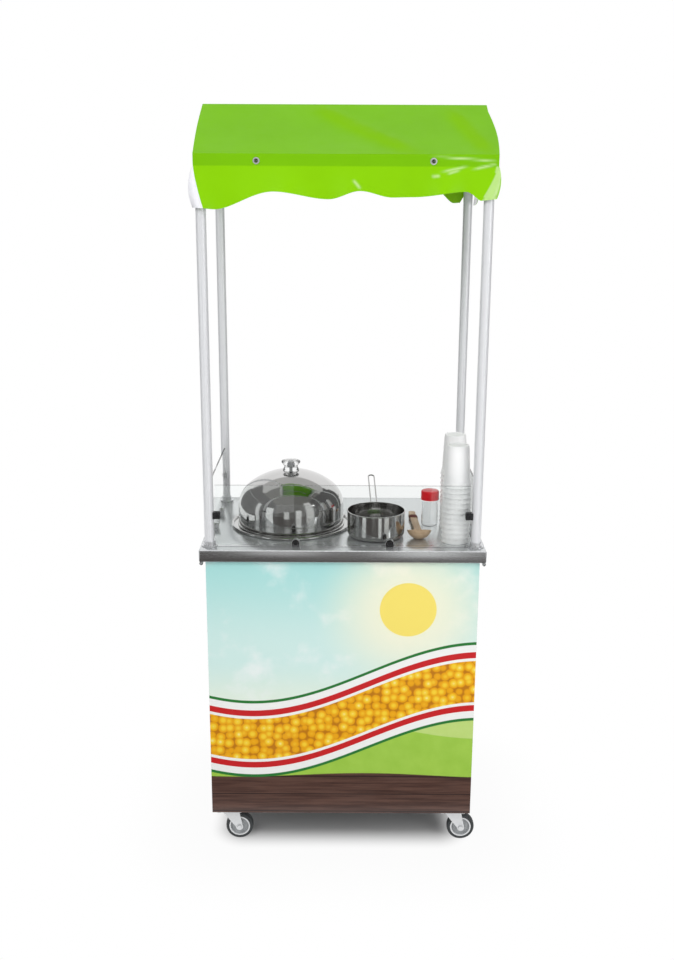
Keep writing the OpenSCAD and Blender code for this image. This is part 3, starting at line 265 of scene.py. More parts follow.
# shared effects
# streaks left by a sanding belt, and the handling marks on top of them
brushing, given, result = newGroup("beltBrushing", ("Point", "Low", "High"), ("Roughness", "Height", "Tone"))
streak = noise(brushing, given["Point"], 1.0, 4.0, 0.65)
spread = newNode(brushing, "VectorMath")
spread.operation = "MULTIPLY"
wire(brushing, given["Point"], spread.inputs[0])
wire(brushing, (0.5, 0.06, 0.06), spread.inputs[1])
cloudy = noise(brushing, spread.outputs[0], 0.5, 2.0)
mixed = calc(brushing, "ADD", calc(brushing, "MULTIPLY", streak, 0.6), calc(brushing, "MULTIPLY", cloudy, 0.4))
wire(brushing, fit(brushing, mixed, 0.35, 0.65, given["Low"], given["High"]), result["Roughness"])
wire(brushing, streak, result["Height"])
wire(brushing, fit(brushing, mixed, 0.3, 0.7), result["Tone"])

# faint finger and wiping marks on polished or clear surfaces
marks, given, result = newGroup("wipeMarks", ("Point", "Scale", "Low", "High"), ("Roughness", "Mask"))
wiped = fit(marks, noise(marks, given["Point"], given["Scale"], 4.0, distortion=0.6), 0.42, 0.7, smooth=True)
wire(marks, wiped, result["Mask"])
wire(marks, fit(marks, wiped, 0.0, 1.0, given["Low"], given["High"]), result["Roughness"])

# moulding grain of plastics and rubber
grain, given, result = newGroup("mouldGrain", ("Point", "Scale", "Low", "High"), ("Roughness", "Height", "Tone"))
wide = noise(grain, given["Point"], 14.0, 2.0)
wire(grain, noise(grain, given["Point"], given["Scale"], 2.0), result["Height"])
wire(grain, fit(grain, wide, 0.35, 0.65, given["Low"], given["High"]), result["Roughness"])
wire(grain, fit(grain, wide, 0.3, 0.7), result["Tone"])


# finishes
def steelFinish(name, dark, light, rough, stretch, depth, metallic=1.0):
    material, tree, shader = newMaterial(name, Metallic=metallic)
    out = useGroup(tree, brushing, rough, Point=objectPoint(tree, scale=stretch))
    paint(tree, shader, blendColor(tree, out["Tone"], dark, light), out["Roughness"])
    bump(tree, shader, out["Height"], 0.12, depth)
    return material


def wipedFinish(name, color, rough, scale, dulling, **constants):
    material, tree, shader = newMaterial(name, **constants)
    out = useGroup(tree, marks, rough, Point=objectPoint(tree), Scale=scale)
    paint(tree, shader, blendColor(tree, out["Mask"], color, shaded(color, dulling)), out["Roughness"])
    return material


def polishedFinish(name, color, rough, scale):
    return wipedFinish(name, color, rough, scale, dulling=0.93, Metallic=1.0)


def clearFinish(name, color, rough, scale, ior):
    return wipedFinish(name, color, rough, scale, dulling=0.97, Metallic=0.0, Transmission_Weight=1.0, IOR=ior)


def plasticFinish(name, color, rough, scale, strength, **constants):
    material, tree, shader = newMaterial(name, **constants)
    out = useGroup(tree, grain, rough, Point=objectPoint(tree), Scale=scale)
    paler = tuple(min(1.0, channel * 1.12 + 0.004) for channel in color)
    paint(tree, shader, blendColor(tree, out["Tone"], color, paler), out["Roughness"])
    bump(tree, shader, out["Height"], strength, 0.0004)
    return material


# design printed on the front panel, in metres
artwork = {
    # wavy lines: level, height, pace and start
    "farHill": (0.43, 0.03, 8.0, 0.4),
    "nearHill": (0.36, 0.036, 6.2, 2.4),
    "boards": (0.215, 0.006, 9.0, 1.0),
    "ribbon": (0.405, 0.085, 5.2, -0.35),
    # bands of the ribbon from outside in: reach from its middle and colour
    "bands": ((0.112, (0.02, 0.2, 0.035)), (0.104, (0.93, 0.94, 0.92)), (0.084, (0.62, 0.012, 0.016)),
              (0.067, (0.93, 0.94, 0.92))),
    "kernels": 0.059,
    "soft": 0.0005,        # half the width of a band's edge
    "sunX": 0.17,
    "sunZ": 0.69,
    "sunRadius": 0.0735,
    "boardsPerMetre": 19.0,
}


def printedFinish():
    # sky, hills, a sweeping ribbon of grain and a boarded foot, all on the panel's own x and z
    material, tree, shader = newMaterial("printedPanel", Coat_Weight=0.35, Coat_Roughness=0.12)
    do, span, mix = partial(calc, tree), partial(fit, tree), partial(blendColor, tree)
    point = objectPoint(tree)
    axes = axesOf(tree, point)
    x, z = axes["X"], axes["Z"]
    page = newNode(tree, "CombineXYZ", X=x, Y=z).outputs[0]

    def over(line):
        # height over a wavy line
        level, tall, pace, start = artwork[line]
        wave = do("SINE", do("ADD", do("MULTIPLY", x, pace), start))
        return do("SUBTRACT", z, do("ADD", level, do("MULTIPLY", tall, wave)))

    def above(line, soft=0.0012):
        return span(over(line), -soft, soft, smooth=True)

    sky = ramp(tree, span(z, 0.4, 0.85), (
        (0.0, (0.83, 0.93, 0.8)), (0.35, (0.66, 0.88, 0.84)), (1.0, (0.4, 0.76, 0.74))))
    cloud = span(noise(tree, page, 7.0, 4.0, 0.55), 0.5, 0.72, 0.0, 0.75, True)
    sky = mix(cloud, sky, (0.92, 0.97, 0.96))
    sunX = do("SUBTRACT", x, artwork["sunX"])
    sunZ = do("SUBTRACT", z, artwork["sunZ"])
    sunFar = do("SQRT", do("ADD", do("MULTIPLY", sunX, sunX), do("MULTIPLY", sunZ, sunZ)))
    sky = mix(span(sunFar, 0.06, 0.26, 0.85, 0.0, True), sky, (0.98, 0.95, 0.72))
    radius = artwork["sunRadius"]
    sky = mix(span(sunFar, radius - 0.001, radius + 0.001, 1.0, 0.0), sky, (0.98, 0.8, 0.16))

    shade = noise(tree, page, 22.0, 3.0)
    farGreen = mix(shade, (0.5, 0.7, 0.16), (0.6, 0.78, 0.26))
    nearGreen = mix(shade, (0.3, 0.56, 0.05), (0.42, 0.68, 0.09))
    picture = mix(above("farHill"), farGreen, sky)
    picture = mix(above("nearHill"), nearGreen, picture)

    board = do("FRACT", do("MULTIPLY", z, artwork["boardsPerMetre"]))
    gap = span(do("ABSOLUTE", do("SUBTRACT", board, 0.5)), 0.455, 0.495, smooth=True)
    figure = noise(tree, objectPoint(tree, scale=(2.2, 2.2, 46.0)), 3.0, 5.0, 0.6)
    boards = ramp(tree, figure, ((0.3, (0.055, 0.024, 0.018)), (0.7, (0.125, 0.062, 0.046))))
    boards = mix(gap, boards, (0.018, 0.008, 0.007))
    picture = mix(above("boards"), boards, picture)

    cells = newNode(tree, "TexVoronoi", Vector=page, Scale=46.0, Randomness=0.55)
    kernel = ramp(tree, span(cells.outputs["Distance"], 0.0, 0.75), (
        (0.0, (1.0, 0.86, 0.3)), (0.35, (0.98, 0.66, 0.03)), (0.75, (0.88, 0.4, 0.0)), (1.0, (0.55, 0.19, 0.0))))
    offset = do("ABSOLUTE", over("ribbon"))
    for reach, ink in (*artwork["bands"], (artwork["kernels"], kernel)):
        picture = mix(span(offset, reach - artwork["soft"], reach + artwork["soft"], 1.0, 0.0), picture, ink)
    out = useGroup(tree, marks, (0.3, 0.4), Point=point, Scale=9.0)
    paint(tree, shader, picture, out["Roughness"])
    bump(tree, shader, noise(tree, point, 900.0, 2.0), 0.05, 0.0002)
    return material


def clothFinish(name, color, hanging, rough, specular, glow=0.0):
    # coated cloth: a woven base under a smooth skin; below the rails the colour is painted lighter, a painted glow for
    # light passing through the hanging cloth
    material, tree, shader = newMaterial(name, Specular_IOR_Level=specular, Coat_Roughness=0.1, Subsurface_Weight=glow,
                                         Subsurface_Scale=0.01, Subsurface_Radius=(1.0, 1.0, 1.0))
    do, span, mix = partial(calc, tree), partial(fit, tree), partial(blendColor, tree)
    point = objectPoint(tree)
    clouds = noise(tree, point, 5.5, 3.0)
    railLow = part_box("roof_rails")[0].z
    lit = span(axesOf(tree, point)["Z"], railLow - 0.003, railLow + 0.001, 1.0, 0.0, True)
    # painted glow: below the rails the cloth takes the lighter hanging colour
    tone = mix(lit, color, hanging)
    faded = mix(lit, shaded(color, 1.07), shaded(hanging, 1.05))
    tone = mix(span(clouds, 0.35, 0.68), tone, faded)
    # painted shade: the stretched folds are painted deeper in colour and made duller; painted highlight: the sharp
    # creases are painted whitish and made glossy
    marked = {}
    for kind in ("fold", "crease"):
        reader = newNode(tree, "Attribute")
        reader.attribute_name = kind
        marked[kind] = reader.outputs["Fac"]
    tone = mix(marked["fold"], tone, shaded(hanging, 0.86))
    # painted highlight: the pale colour the creases are painted
    creaseHighlight = (0.5 * hanging[0] + 0.46, 0.3 * hanging[1] + 0.66, 0.5 * hanging[2] + 0.3)
    weave = []
    for direction in ("X", "Z"):
        thread = newNode(tree, "TexWave", Vector=point, Scale=320.0, Distortion=0.5)
        thread.wave_type = "BANDS"
        thread.bands_direction = direction
        weave.append(thread.outputs["Fac"])
    height = do("ADD", do("MULTIPLY", weave[0], weave[1]), do("MULTIPLY", clouds, 0.6))
    skin = span(noise(tree, point, 30.0, 3.0), 0.3, 0.7, rough[0], rough[1])
    paint(tree, shader, mix(marked["crease"], tone, creaseHighlight), do("ADD", skin, do("MULTIPLY", marked["fold"], 0.35)))
    wire(tree, span(marked["crease"], 0.0, 0.6), shader.inputs["Coat Weight"])
    bump(tree, shader, height, 0.08, 0.0005)
    return material


def woodFinish():
    material, tree, shader = newMaterial("spoonWood", Specular_IOR_Level=0.35)
    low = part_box("spoon")[0]
    stretch = (60.0, 5.0, 60.0)  # the grain runs along y
    point = objectPoint(tree, move=[-edge * scale for edge, scale in zip(low, stretch)], scale=stretch)
    figure = noise(tree, point, 3.0, 5.0, 0.62)
    color = ramp(tree, figure, ((0.28, (0.5, 0.33, 0.2)), (0.52, (0.64, 0.46, 0.3)), (0.75, (0.72, 0.54, 0.37))))
    paint(tree, shader, color, fit(tree, figure, 0.3, 0.7, 0.62, 0.45))
    bump(tree, shader, figure, 0.25, 0.0006)
    return material


lengthways = (5.0, 420.0, 420.0)  # streaks along x
finishTables = (
    # dark and light tone, roughness, stretch and depth of the streaks, metal share
    (steelFinish, {
        "brushedSteelSheet": ((0.66, 0.675, 0.685), (0.71, 0.725, 0.735), (0.24, 0.29), lengthways, 0.00002),
        # a paler, less metallic copy of the sheet for the top, painted light
        "worktopSheet": ((0.7, 0.72, 0.73), (0.72, 0.74, 0.75), (0.22, 0.26), lengthways, 0.000003, 0.72),
        "frameSteel": ((0.42, 0.43, 0.44), (0.56, 0.57, 0.58), (0.34, 0.5), (60.0, 60.0, 60.0), 0.0003),
        "plainPanel": ((0.56, 0.565, 0.57), (0.68, 0.685, 0.69), (0.28, 0.42), (220.0, 220.0, 8.0), 0.0003),
        "zinc": ((0.7, 0.715, 0.73), (0.84, 0.85, 0.86), (0.32, 0.46), (90.0, 90.0, 90.0), 0.0004, 0.6),
        "elementSheath": ((0.1, 0.09, 0.085), (0.22, 0.2, 0.19), (0.42, 0.6), (120.0, 120.0, 120.0), 0.0004),
        "brightTube": ((0.84, 0.85, 0.88), (0.9, 0.91, 0.93), (0.24, 0.34), (500.0, 500.0, 3.0), 0.0001, 0.25),
        "socketSatin": ((0.74, 0.75, 0.77), (0.84, 0.85, 0.87), (0.24, 0.34), (80.0, 80.0, 80.0), 0.0001, 0.7),
        # the cover's screw heads are painted dark, a painted dark reflection
        "screwHead": ((0.2, 0.21, 0.21), (0.34, 0.35, 0.35), (0.18, 0.3), (200.0, 200.0, 200.0), 0.0002),
    }),
    # colour, roughness, scale of the wiping marks
    (polishedFinish, {
        "polishedSteel": ((0.63, 0.625, 0.62), (0.08, 0.13), 11.0),
        # dark polished faces of the glass feet, a painted dark reflection
        "footFace": ((0.15, 0.15, 0.155), (0.1, 0.16), 11.0),
        "brightFittings": ((0.8, 0.8, 0.8), (0.08, 0.18), 40.0),
    }),
    # colour on the roof and where it hangs (painted lighter there for light let through), roughness, specular level,
    # share of light let through
    (clothFinish, {
        "canopyCloth": ((0.19, 0.515, 0.002), (0.255, 0.63, 0.001), (0.3, 0.4), 0.12),
        "canopyUnder": ((0.17, 0.5, 0.004), (0.26, 0.62, 0.005), (0.45, 0.6), 0.2),
        # pale copies of the cloth, a painted reflection and light through the cloth, for the side flaps' inner faces
        # and the left front corner
        "canopyLining": ((0.88, 0.88, 0.92), (0.9, 0.9, 0.94), (0.22, 0.3), 0.5),
        "canopyReverse": ((0.88, 0.88, 0.92), (0.9, 0.9, 0.94), (0.22, 0.3), 0.5, 1.0),
    }),
    # colour, roughness, scale of the wiping marks, refraction
    (clearFinish, {
        "clearPanel": ((0.965, 0.985, 0.98), (0.0, 0.05), 6.0, 1.49),
        "clearPlastic": ((0.975, 0.98, 0.98), (0.01, 0.06), 30.0, 1.46),
    }),
    # colour, roughness, scale and strength of the grain
    (plasticFinish, {
        "blackPlastic": ((0.014, 0.014, 0.016), (0.36, 0.5), 1400.0, 0.15),
        "hubPlastic": ((0.36, 0.375, 0.385), (0.4, 0.52), 1200.0, 0.12),
        "tyreRubber": ((0.045, 0.05, 0.052), (0.55, 0.72), 900.0, 0.25),
        "bindingTwine": ((0.13, 0.035, 0.03), (0.6, 0.75), 1500.0, 0.4),
    }),
)
finishes = {
    "printedPanel": printedFinish(),
    "frostedCups": plasticFinish("frostedCups", (0.9, 0.915, 0.915), (0.3, 0.42), 700.0, 0.06, IOR=1.45),
    "redPlastic": plasticFinish("redPlastic", (0.72, 0.002, 0.012), (0.14, 0.22), 900.0, 0.05, Specular_IOR_Level=0.3),
    "spoonWood": woodFinish(),
}
for makeFinish, table in finishTables:
    for finishName, looks in table.items():
        finishes[finishName] = makeFinish(finishName, *looks)
# a slot's finish has the slot's name, apart from these
finishOfNode = {"canopy_screws": "screwHead", "post_sockets": "socketSatin", "glass_feet": "socketSatin",
                "lid_screw": "brightTube"}
slotOfNode = {part["node"]: part["material_slot"] for part in frame["record"]["subparts"]}
for nodeName, node in nodes.items():
    node.data.materials.clear()
    node.data.materials.append(finishes[finishOfNode.get(nodeName, camel(slotOfNode[nodeName]))])


def paintFaces(mesh, finish, chosen):
    # one more finish, for the chosen faces
    mesh.materials.append(finishes[finish])
    for face in mesh.polygons:
        if chosen(face):
            face.material_index = len(mesh.materials) - 1


for nodeName in ("front_glass", "side_glasses", "bottle"):
    nodes[nodeName].visible_shadow = False  # light passes clear panels
low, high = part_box("canopy_screws")
washer = {"outer": 0.008, "inner": 0.0052}  # radii
screwX, screwZ = high.x - washer["outer"], (low.z + high.z) / 2.0
paintFaces(nodes["canopy_screws"].data, "zinc",
           lambda face: hypot(abs(face.center.x) - screwX, face.center.z - screwZ) > washer["inner"])
# the print is on the outside only
paintFaces(nodes["front_panel"].data, "brushedSteelSheet", lambda face: face.normal.y >= -0.5)
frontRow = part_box("glass_feet")[0].y + 0.03
# the outward faces of the feet are painted dark, a painted dark reflection
paintFaces(nodes["glass_feet"].data, "footFace",
           lambda face: abs(face.normal.y if face.center.y < frontRow else face.normal.x) > 0.9)
print("finishes made:", len(finishes))


# floor, walls and sky
def plainlySeen(tree):
    # 1 for the camera and what mirrors and clear pieces show it, 0 for light on a surface
    rays = newNode(tree, "LightPath").outputs
    shown = calc(tree, "MAXIMUM", rays["Is Camera Ray"],
                 calc(tree, "MAXIMUM", rays["Is Glossy Ray"], rays["Is Transmission Ray"]))
    return calc(tree, "MULTIPLY", shown, calc(tree, "LESS_THAN", rays["Diffuse Depth"], 0.5))


def mixSurface(tree, share, first, second):
    mixer = newNode(tree, "MixShader")
    for socket, source in zip(mixer.inputs, (share, first.outputs[0], second.outputs[0])):
        wire(tree, source, socket)
    wire(tree, mixer.outputs[0], tree.nodes["Material Output"].inputs["Surface"])


def makeFloor():
    bpy.ops.mesh.primitive_plane_add(size=studio["floorSize"], location=(0.0, 0.0, 0.0))
    floor = bpy.context.object
    floor.name = "floor"
    material, tree, shader = newMaterial("floorPaper", Roughness=0.9, Specular_IOR_Level=0.1)
    wire(tree, studio["floorColor"], shader.inputs["Base Color"])
    do, span = partial(calc, tree), partial(fit, tree)
    axes = axesOf(tree, objectPoint(tree))
    low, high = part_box("cabinet_floor")
    beside = []
    for axis, near, far in (("X", low.x, high.x), ("Y", low.y, high.y)):
        off = do("ABSOLUTE", do("SUBTRACT", axes[axis], (near + far) / 2.0))
        half = (far - near) / 2.0 - studio["shadowInset"]
        beside.append(do("POWER", do("MAXIMUM", do("SUBTRACT", off, half), 0.0), 2.0))
    away = do("SQRT", do("ADD", *beside))
    edge = span(away, 0.0, studio["shadowEdge"], 0.0, studio["edgeShare"], True)
    fade = span(away, studio["shadowEdge"], studio["shadowReach"], 0.0, 1.0 - studio["edgeShare"], True)
    share = do("MULTIPLY", plainlySeen(tree), do("ADD", edge, fade))
    mixSurface(tree, share, shader, newNode(tree, "Emission"))
    floor.data.materials.append(material)


def makeWalls():
    for wallName, place, width, height, lean, turn, color in studio["walls"]:
        bpy.ops.mesh.primitive_plane_add(size=1.0, location=place, rotation=(radians(lean), 0.0, radians(turn)))
        wall = bpy.context.object
        wall.name = wallName
        wall.scale = (width, height, 1.0)
        # a glowing panel seen only in reflections, a painted reflection
        material, tree, shader = newMaterial(wallName + "Paint", Roughness=0.9, Emission_Strength=1.0)
        wire(tree, (0.02, 0.02, 0.02), shader.inputs["Base Color"])
        wire(tree, color, shader.inputs["Emission Color"])
        depth = newNode(tree, "LightPath").outputs["Glossy Depth"]
        mixSurface(tree, calc(tree, "GREATER_THAN", depth, 0.5), newNode(tree, "BsdfTransparent"), shader)
        wall.data.materials.append(material)
        wall.visible_camera = wall.visible_diffuse = wall.visible_shadow = False


def makeSky():
    world = scene.world = bpy.data.worlds.new("studioSky")
    world.use_nodes = True
    tree = world.node_tree
    background = tree.nodes["Background"]
    wire(tree, (1.0, 1.0, 1.0), background.inputs["Color"])
    wire(tree, fit(tree, plainlySeen(tree), 0.0, 1.0, studio["skyFill"], 1.0), background.inputs["Strength"])


makeFloor()
makeWalls()
makeSky()
print("stage set")


# canopy cover: one sheet from hem to hem over the ridge, with gable ends and corners folded round the front posts
canopy = {
    "halfX": 0.3546,
    "halfY": 0.2286,
    "bandLow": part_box("roof_rails")[0].z,
    "eave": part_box("roof_rails")[1].z + 0.0011,
    "ridge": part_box("canopy_roof")[1].z - 0.0007,
    "thick": 0.0011,
    "columns": 220,
    "slopeRows": 30,
    "bandRows": 6,
    "flapRows": 24,
    "gableRows": 10,
    # hem: crests and troughs, each a place along the flap and a drop below the rail in metres
    "frontHem": ((-0.355, 0.098), (-0.318, 0.1), (-0.168, 0.059), (-0.038, 0.076), (0.036, 0.057),
                 (0.112, 0.0715), (0.16, 0.0705), (0.296, 0.058), (0.355, 0.078)),
    "rearHem": ((-0.355, 0.06), (-0.296, 0.048), (-0.13, 0.055), (-0.036, 0.044), (0.04, 0.054), (0.168, 0.05),
                (0.258, 0.052), (0.322, 0.086), (0.355, 0.085)),
    "leftHem": ((-0.229, 0.096), (-0.1, 0.06), (-0.03, 0.072), (0.05, 0.058), (0.13, 0.074), (0.229, 0.082)),
    "rightHem": ((-0.229, 0.074), (-0.08, 0.058), (0.0, 0.074), (0.08, 0.06), (0.229, 0.092)),
    "tuck": (0.022, 0.034),    # how far the left and right end of a front hem is drawn in
    "sway": ((0.0055, 31.0, 0.6), (0.0035, 53.0, 2.0)),  # waves in the front and rear flap: height, pace, start
    "swing": (0.0085, 0.0045),  # how far the left and right flap stand out at the front
    "slopeLength": 0.262,
    # long soft folds on the front slope: two ends as x and share down the slope, height and width
    "slopeFolds": (((-0.088, 0.0), (0.168, 1.0), 0.0042, 0.026), ((0.258, 0.06), (0.34, 1.0), 0.0048, 0.022)),
    # short creases in the front flap: two ends as x and z, height and width
    "flapCreases": (
        ((0.203, 1.767), (0.222, 1.769), 0.0026, 0.005),
        ((0.2277, 1.778), (0.2838, 1.79), 0.0028, 0.004),
        ((0.2394, 1.773), (0.2674, 1.7813), 0.0018, 0.0036),
        ((0.0197, 1.7586), (0.0361, 1.7393), 0.0026, 0.005),
        ((0.3, 1.784), (0.354, 1.796), 0.0022, 0.004),
        ((0.215, 1.812), (0.352, 1.803), 0.0, 0.003),
    ),
    "edgeStart": 0.3,         # x from which the strip follows the gable's billow
    "cornerColumns": 6,
    "cornerBulge": 0.006,
    "cornerCrease": 0.8,
    "sag": (0.0045, 0.002),    # of the slopes: in waves along x, and all over
    "rearWave": 0.003,
    "flare": 0.004,            # how far every flap stands out
    "sideHem": 0.003,          # and the hem of a side flap over that
    "billow": (0.003, 0.01),   # how far the left and right gable stand out
    "billowFrom": (0.04, 0.22),
    "sideWave": (0.0035, 38.0, 1.0),  # in the side flaps: height, pace, start
}
halfX, halfY, eave, ridge, bandLow = (canopy[name] for name in ("halfX", "halfY", "eave", "ridge", "bandLow"))


def hemDrop(table, place):
    for (startX, startY), (endX, endY) in zip(table, table[1:]):
        if place <= endX:
            share = min(1.0, max(0.0, (place - startX) / (endX - startX)))
            share = share * share * (3.0 - 2.0 * share)
            return startY + (endY - startY) * share
    return table[-1][1]


def nearLine(pointX, pointY, start, end):
    alongX, alongY = end[0] - start[0], end[1] - start[1]
    length = sqrt(alongX * alongX + alongY * alongY)
    share = ((pointX - start[0]) * alongX + (pointY - start[1]) * alongY) / (length * length)
    side = ((pointX - start[0]) * alongY - (pointY - start[1]) * alongX) / length
    ends = min(1.0, max(0.0, 1.0 - 2.6 * max(0.0, abs(share - 0.5) - 0.3)))
    return side, ends * ends


def frontFlapPoint(x, share, facing):
    drop = hemDrop(canopy["frontHem" if facing < 0 else "rearHem"], x)
    inward = canopy["tuck"][x >= 0] * share ** 1.4 * (abs(x) / halfX) ** 6
    z = bandLow - drop * share
    sway = sum(tall * sin(x * pace + start) for tall, pace, start in canopy["sway"])
    out = share ** 1.3 * (canopy["flare"] + sway)
    if facing < 0:
        for start, end, tall, wide in canopy["flapCreases"]:
            side, ends = nearLine(x, z, start, end)
            out += tall * ends * exp(-(side / wide) ** 2)
    return Vector((x - inward * (1.0 if x > 0 else -1.0), facing * (halfY + out), z))


def sideFlapPoint(y, share, facing):
    drop = hemDrop(canopy["leftHem" if facing < 0 else "rightHem"], y)
    frontness = max(0.0, 0.5 - y / (2.0 * halfY))
    swing = canopy["swing"][facing > 0]
    out = (swing * frontness + canopy["flare"]) * sin(pi * min(1.0, share * 0.92)) ** 0.8
    tall, pace, start = canopy["sideWave"]
    out += share ** 1.3 * (tall * sin(y * pace + start) + canopy["sideHem"])
    return Vector((facing * (halfX + out), y, bandLow - drop * share))


def onCorner(point):
    # true on the cloth folded round a front post, between the front flap and the side flap
    side = 1.0 if point.x > 0.0 else -1.0
    share = (bandLow - point.z) / hemDrop(canopy["frontHem"], side * halfX)
    if share <= 0.0 or point.y > -halfY - 0.0003:
        return False
    end = frontFlapPoint(side * halfX, min(1.0, share), -1.0)
    return side * (point.x - end.x) > 0.0004


def foldAt(x, share, start, end, wide):
    long = canopy["slopeLength"]
    side, ends = nearLine(x, share * long, (start[0], start[1] * long), (end[0], end[1] * long))
    return ends * exp(-(side / wide) ** 2)


def roofLift(x, share, facing):
    # height of the cover over the straight line from ridge to eave
    waves, dip = canopy["sag"]
    lift = -waves * sin(pi * share) * cos(x * 9.0) ** 2 - dip * sin(pi * share)
    if facing < 0:
        for start, end, tall, wide in canopy["slopeFolds"]:
            lift += tall * foldAt(x, share, start, end, wide) * min(1.0, 6.0 * (1.0 - share)) * min(1.0, 8.0 * share)
    else:
        lift += canopy["rearWave"] * sin(x * 14.0 + share * 5.0) * sin(pi * share)
    return lift


def gableOut(y, height, facing):
    # outward billow of a gable end, loose on the right and tight on the left
    rise = ridge - eave
    top = rise * (1.0 - abs(y) / halfY)
    share = 0.0 if top < 1e-6 else min(1.0, max(0.0, height / rise))
    wave = sin(pi * min(1.0, share * 0.9 + canopy["billowFrom"][facing > 0]))
    return canopy["billow"][facing > 0] * wave * (1.0 - (y / halfY) ** 4 * 0.25)


def markFolds(mesh):
    # the finish reads how far each point lies on a fold or a crease, to paint shade on the folds and highlights on the
    # creases
    fold = mesh.attributes.new("fold", "FLOAT", "POINT")
    crease = mesh.attributes.new("crease", "FLOAT", "POINT")
    for index, vertex in enumerate(mesh.vertices):
        x, y, z = vertex.co
        if onCorner(vertex.co):
            # the right corner fold is marked as a crease, so it is painted pale, a painted highlight
            crease.data[index].value = canopy["cornerCrease"] if x > 0.0 else 0.0
            continue
        if y > 0.0 or abs(x) > halfX:
            continue
        if z > eave:
            depths = [foldAt(x, -y / halfY, start, end, wide) for start, end, _, wide in canopy["slopeFolds"]]
            fold.data[index].value = min(1.0, sum(1.25 * depth for depth in depths))
        elif y < -halfY + 0.001:
            for start, end, _, wide in canopy["flapCreases"]:
                side, ends = nearLine(x, z, start, end)
                crease.data[index].value += ends * exp(-(1.7 * side / wide) ** 2)


def weld(threshold):
    setMode("EDIT", "SELECT")
    bpy.ops.mesh.remove_doubles(threshold=threshold)
    bpy.ops.mesh.normals_make_consistent(inside=False)
    setMode("OBJECT")


def smooth(degrees):
    bpy.ops.object.shade_smooth_by_angle(angle=radians(degrees))


def makeCanopy():
    points = []
    faces = []

    def steps(count):
        return [i / count for i in range(count + 1)]

    def grid(backward, rows):
        first = len(points)
        wide = len(rows[0])
        for row in rows:
            points.extend(row[::-1] if backward else row)
        for j in range(len(rows) - 1):
            for i in range(wide - 1):
                a = first + j * wide + i
                faces.append((a, a + 1, a + wide + 1, a + wide))

    def edgeOut(x, y, z):
        # the strip's end follows the gable's billow, so the seam stays closed
        near = max(0.0, (abs(x) - canopy["edgeStart"]) / (halfX - canopy["edgeStart"]))
        side = 1.0 if x > 0 else -1.0
        return side * near * near * gableOut(y, z - eave, side)

    def slopePoint(x, share, facing):
        y, z = facing * halfY * share, ridge + (eave - ridge) * share
        lift = roofLift(x, share, facing) * (1.0 - (abs(x) / halfX) ** 8)
        return Vector((x + edgeOut(x, y, z), y, z + lift))

    def frontPoint(x, share, facing):
        return frontFlapPoint(x, share, facing) + Vector((edgeOut(x, facing * halfY, eave) * (1.0 - share), 0.0, 0.0))

    def gablePoint(y, share, facing):
        top = ridge + (eave - ridge) * abs(y) / halfY
        z = top + (eave - top) * share
        return Vector((facing * (halfX + gableOut(y, z - eave, facing)), y, z))

    def sidePoint(y, share, facing):
        return sideFlapPoint(y, share, facing) + Vector((facing * gableOut(y, 0.0, facing) * (1.0 - share), 0.0, 0.0))

    def cornerPoint(along, share, facing):
        start, end = frontPoint(facing * halfX, share, -1.0), sidePoint(-halfY, share, facing)
        return start.lerp(end, along) + Vector((0.0, -canopy["cornerBulge"] * share * sin(pi * along), 0.0))

    xs = [halfX * (2.0 * share - 1.0) for share in steps(canopy["columns"])]
    slopes = steps(canopy["slopeRows"])
    ys = [-halfY * share for share in reversed(slopes)] + [halfY * share for share in slopes[1:]]
    bands = [eave + (bandLow - eave) * share for share in steps(canopy["bandRows"])]
    drops = steps(canopy["flapRows"])
    folds = steps(canopy["cornerColumns"])
    for facing in (-1.0, 1.0):
        y = facing * halfY
        grid(facing > 0, [[slopePoint(x, share, facing) for x in xs] for share in slopes])
        grid(facing > 0, [[Vector((x + edgeOut(x, y, eave), y, z)) for x in xs] for z in bands])
        grid(facing > 0, [[frontPoint(x, share, facing) for x in xs] for share in drops])
    for facing in (-1.0, 1.0):
        grid(facing < 0, [[gablePoint(y, share, facing) for y in ys] for share in steps(canopy["gableRows"])])
        grid(facing < 0, [[Vector((facing * (halfX + gableOut(y, 0.0, facing)), y, z)) for y in ys] for z in bands])
        grid(facing < 0, [[sidePoint(y, share, facing) for y in ys] for share in drops])
        grid(facing < 0, [[cornerPoint(along, share, facing) for along in folds] for share in drops])

    mesh = bpy.data.meshes.new("canopyCover")
    mesh.from_pydata([tuple(point) for point in points], [], faces)
    cover = addObject("canopyCover", mesh)
    activate(cover)
    weld(0.0002)
    for finish in ("canopyCloth", "canopyUnder", "canopyReverse", "canopyLining"):
        mesh.materials.append(finishes[finish])
    wall = cover.modifiers.new("wall", "SOLIDIFY")
    wall.thickness = canopy["thick"]
    wall.offset = 0.0
    wall.use_rim = True
    wall.material_offset = 1
    bpy.ops.object.modifier_apply(modifier="wall")
    markFolds(mesh)
    for face in mesh.polygons:
        # the inner faces of the side flaps are painted pale, a painted reflection and glow of light through the cloth
        if face.material_index == 1 and face.center.z < bandLow and abs(face.center.x) > halfX - 0.002:
            face.material_index = 2
        # the left front corner is painted pale the same way, a painted reflection
        if face.material_index == 0 and face.center.x < 0.0 and onCorner(face.center):
            face.material_index = 3
    smooth(40.0)
    area = sum(face.area for face in mesh.polygons) / 2.0
    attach(cover, "cart")
    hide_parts("canopy_roof", "canopy_valance")
    return cover, area


cover, coverArea = makeCanopy()
print("canopy cover made: area %.3f m2, %d faces" % (coverArea, len(cover.data.polygons)))


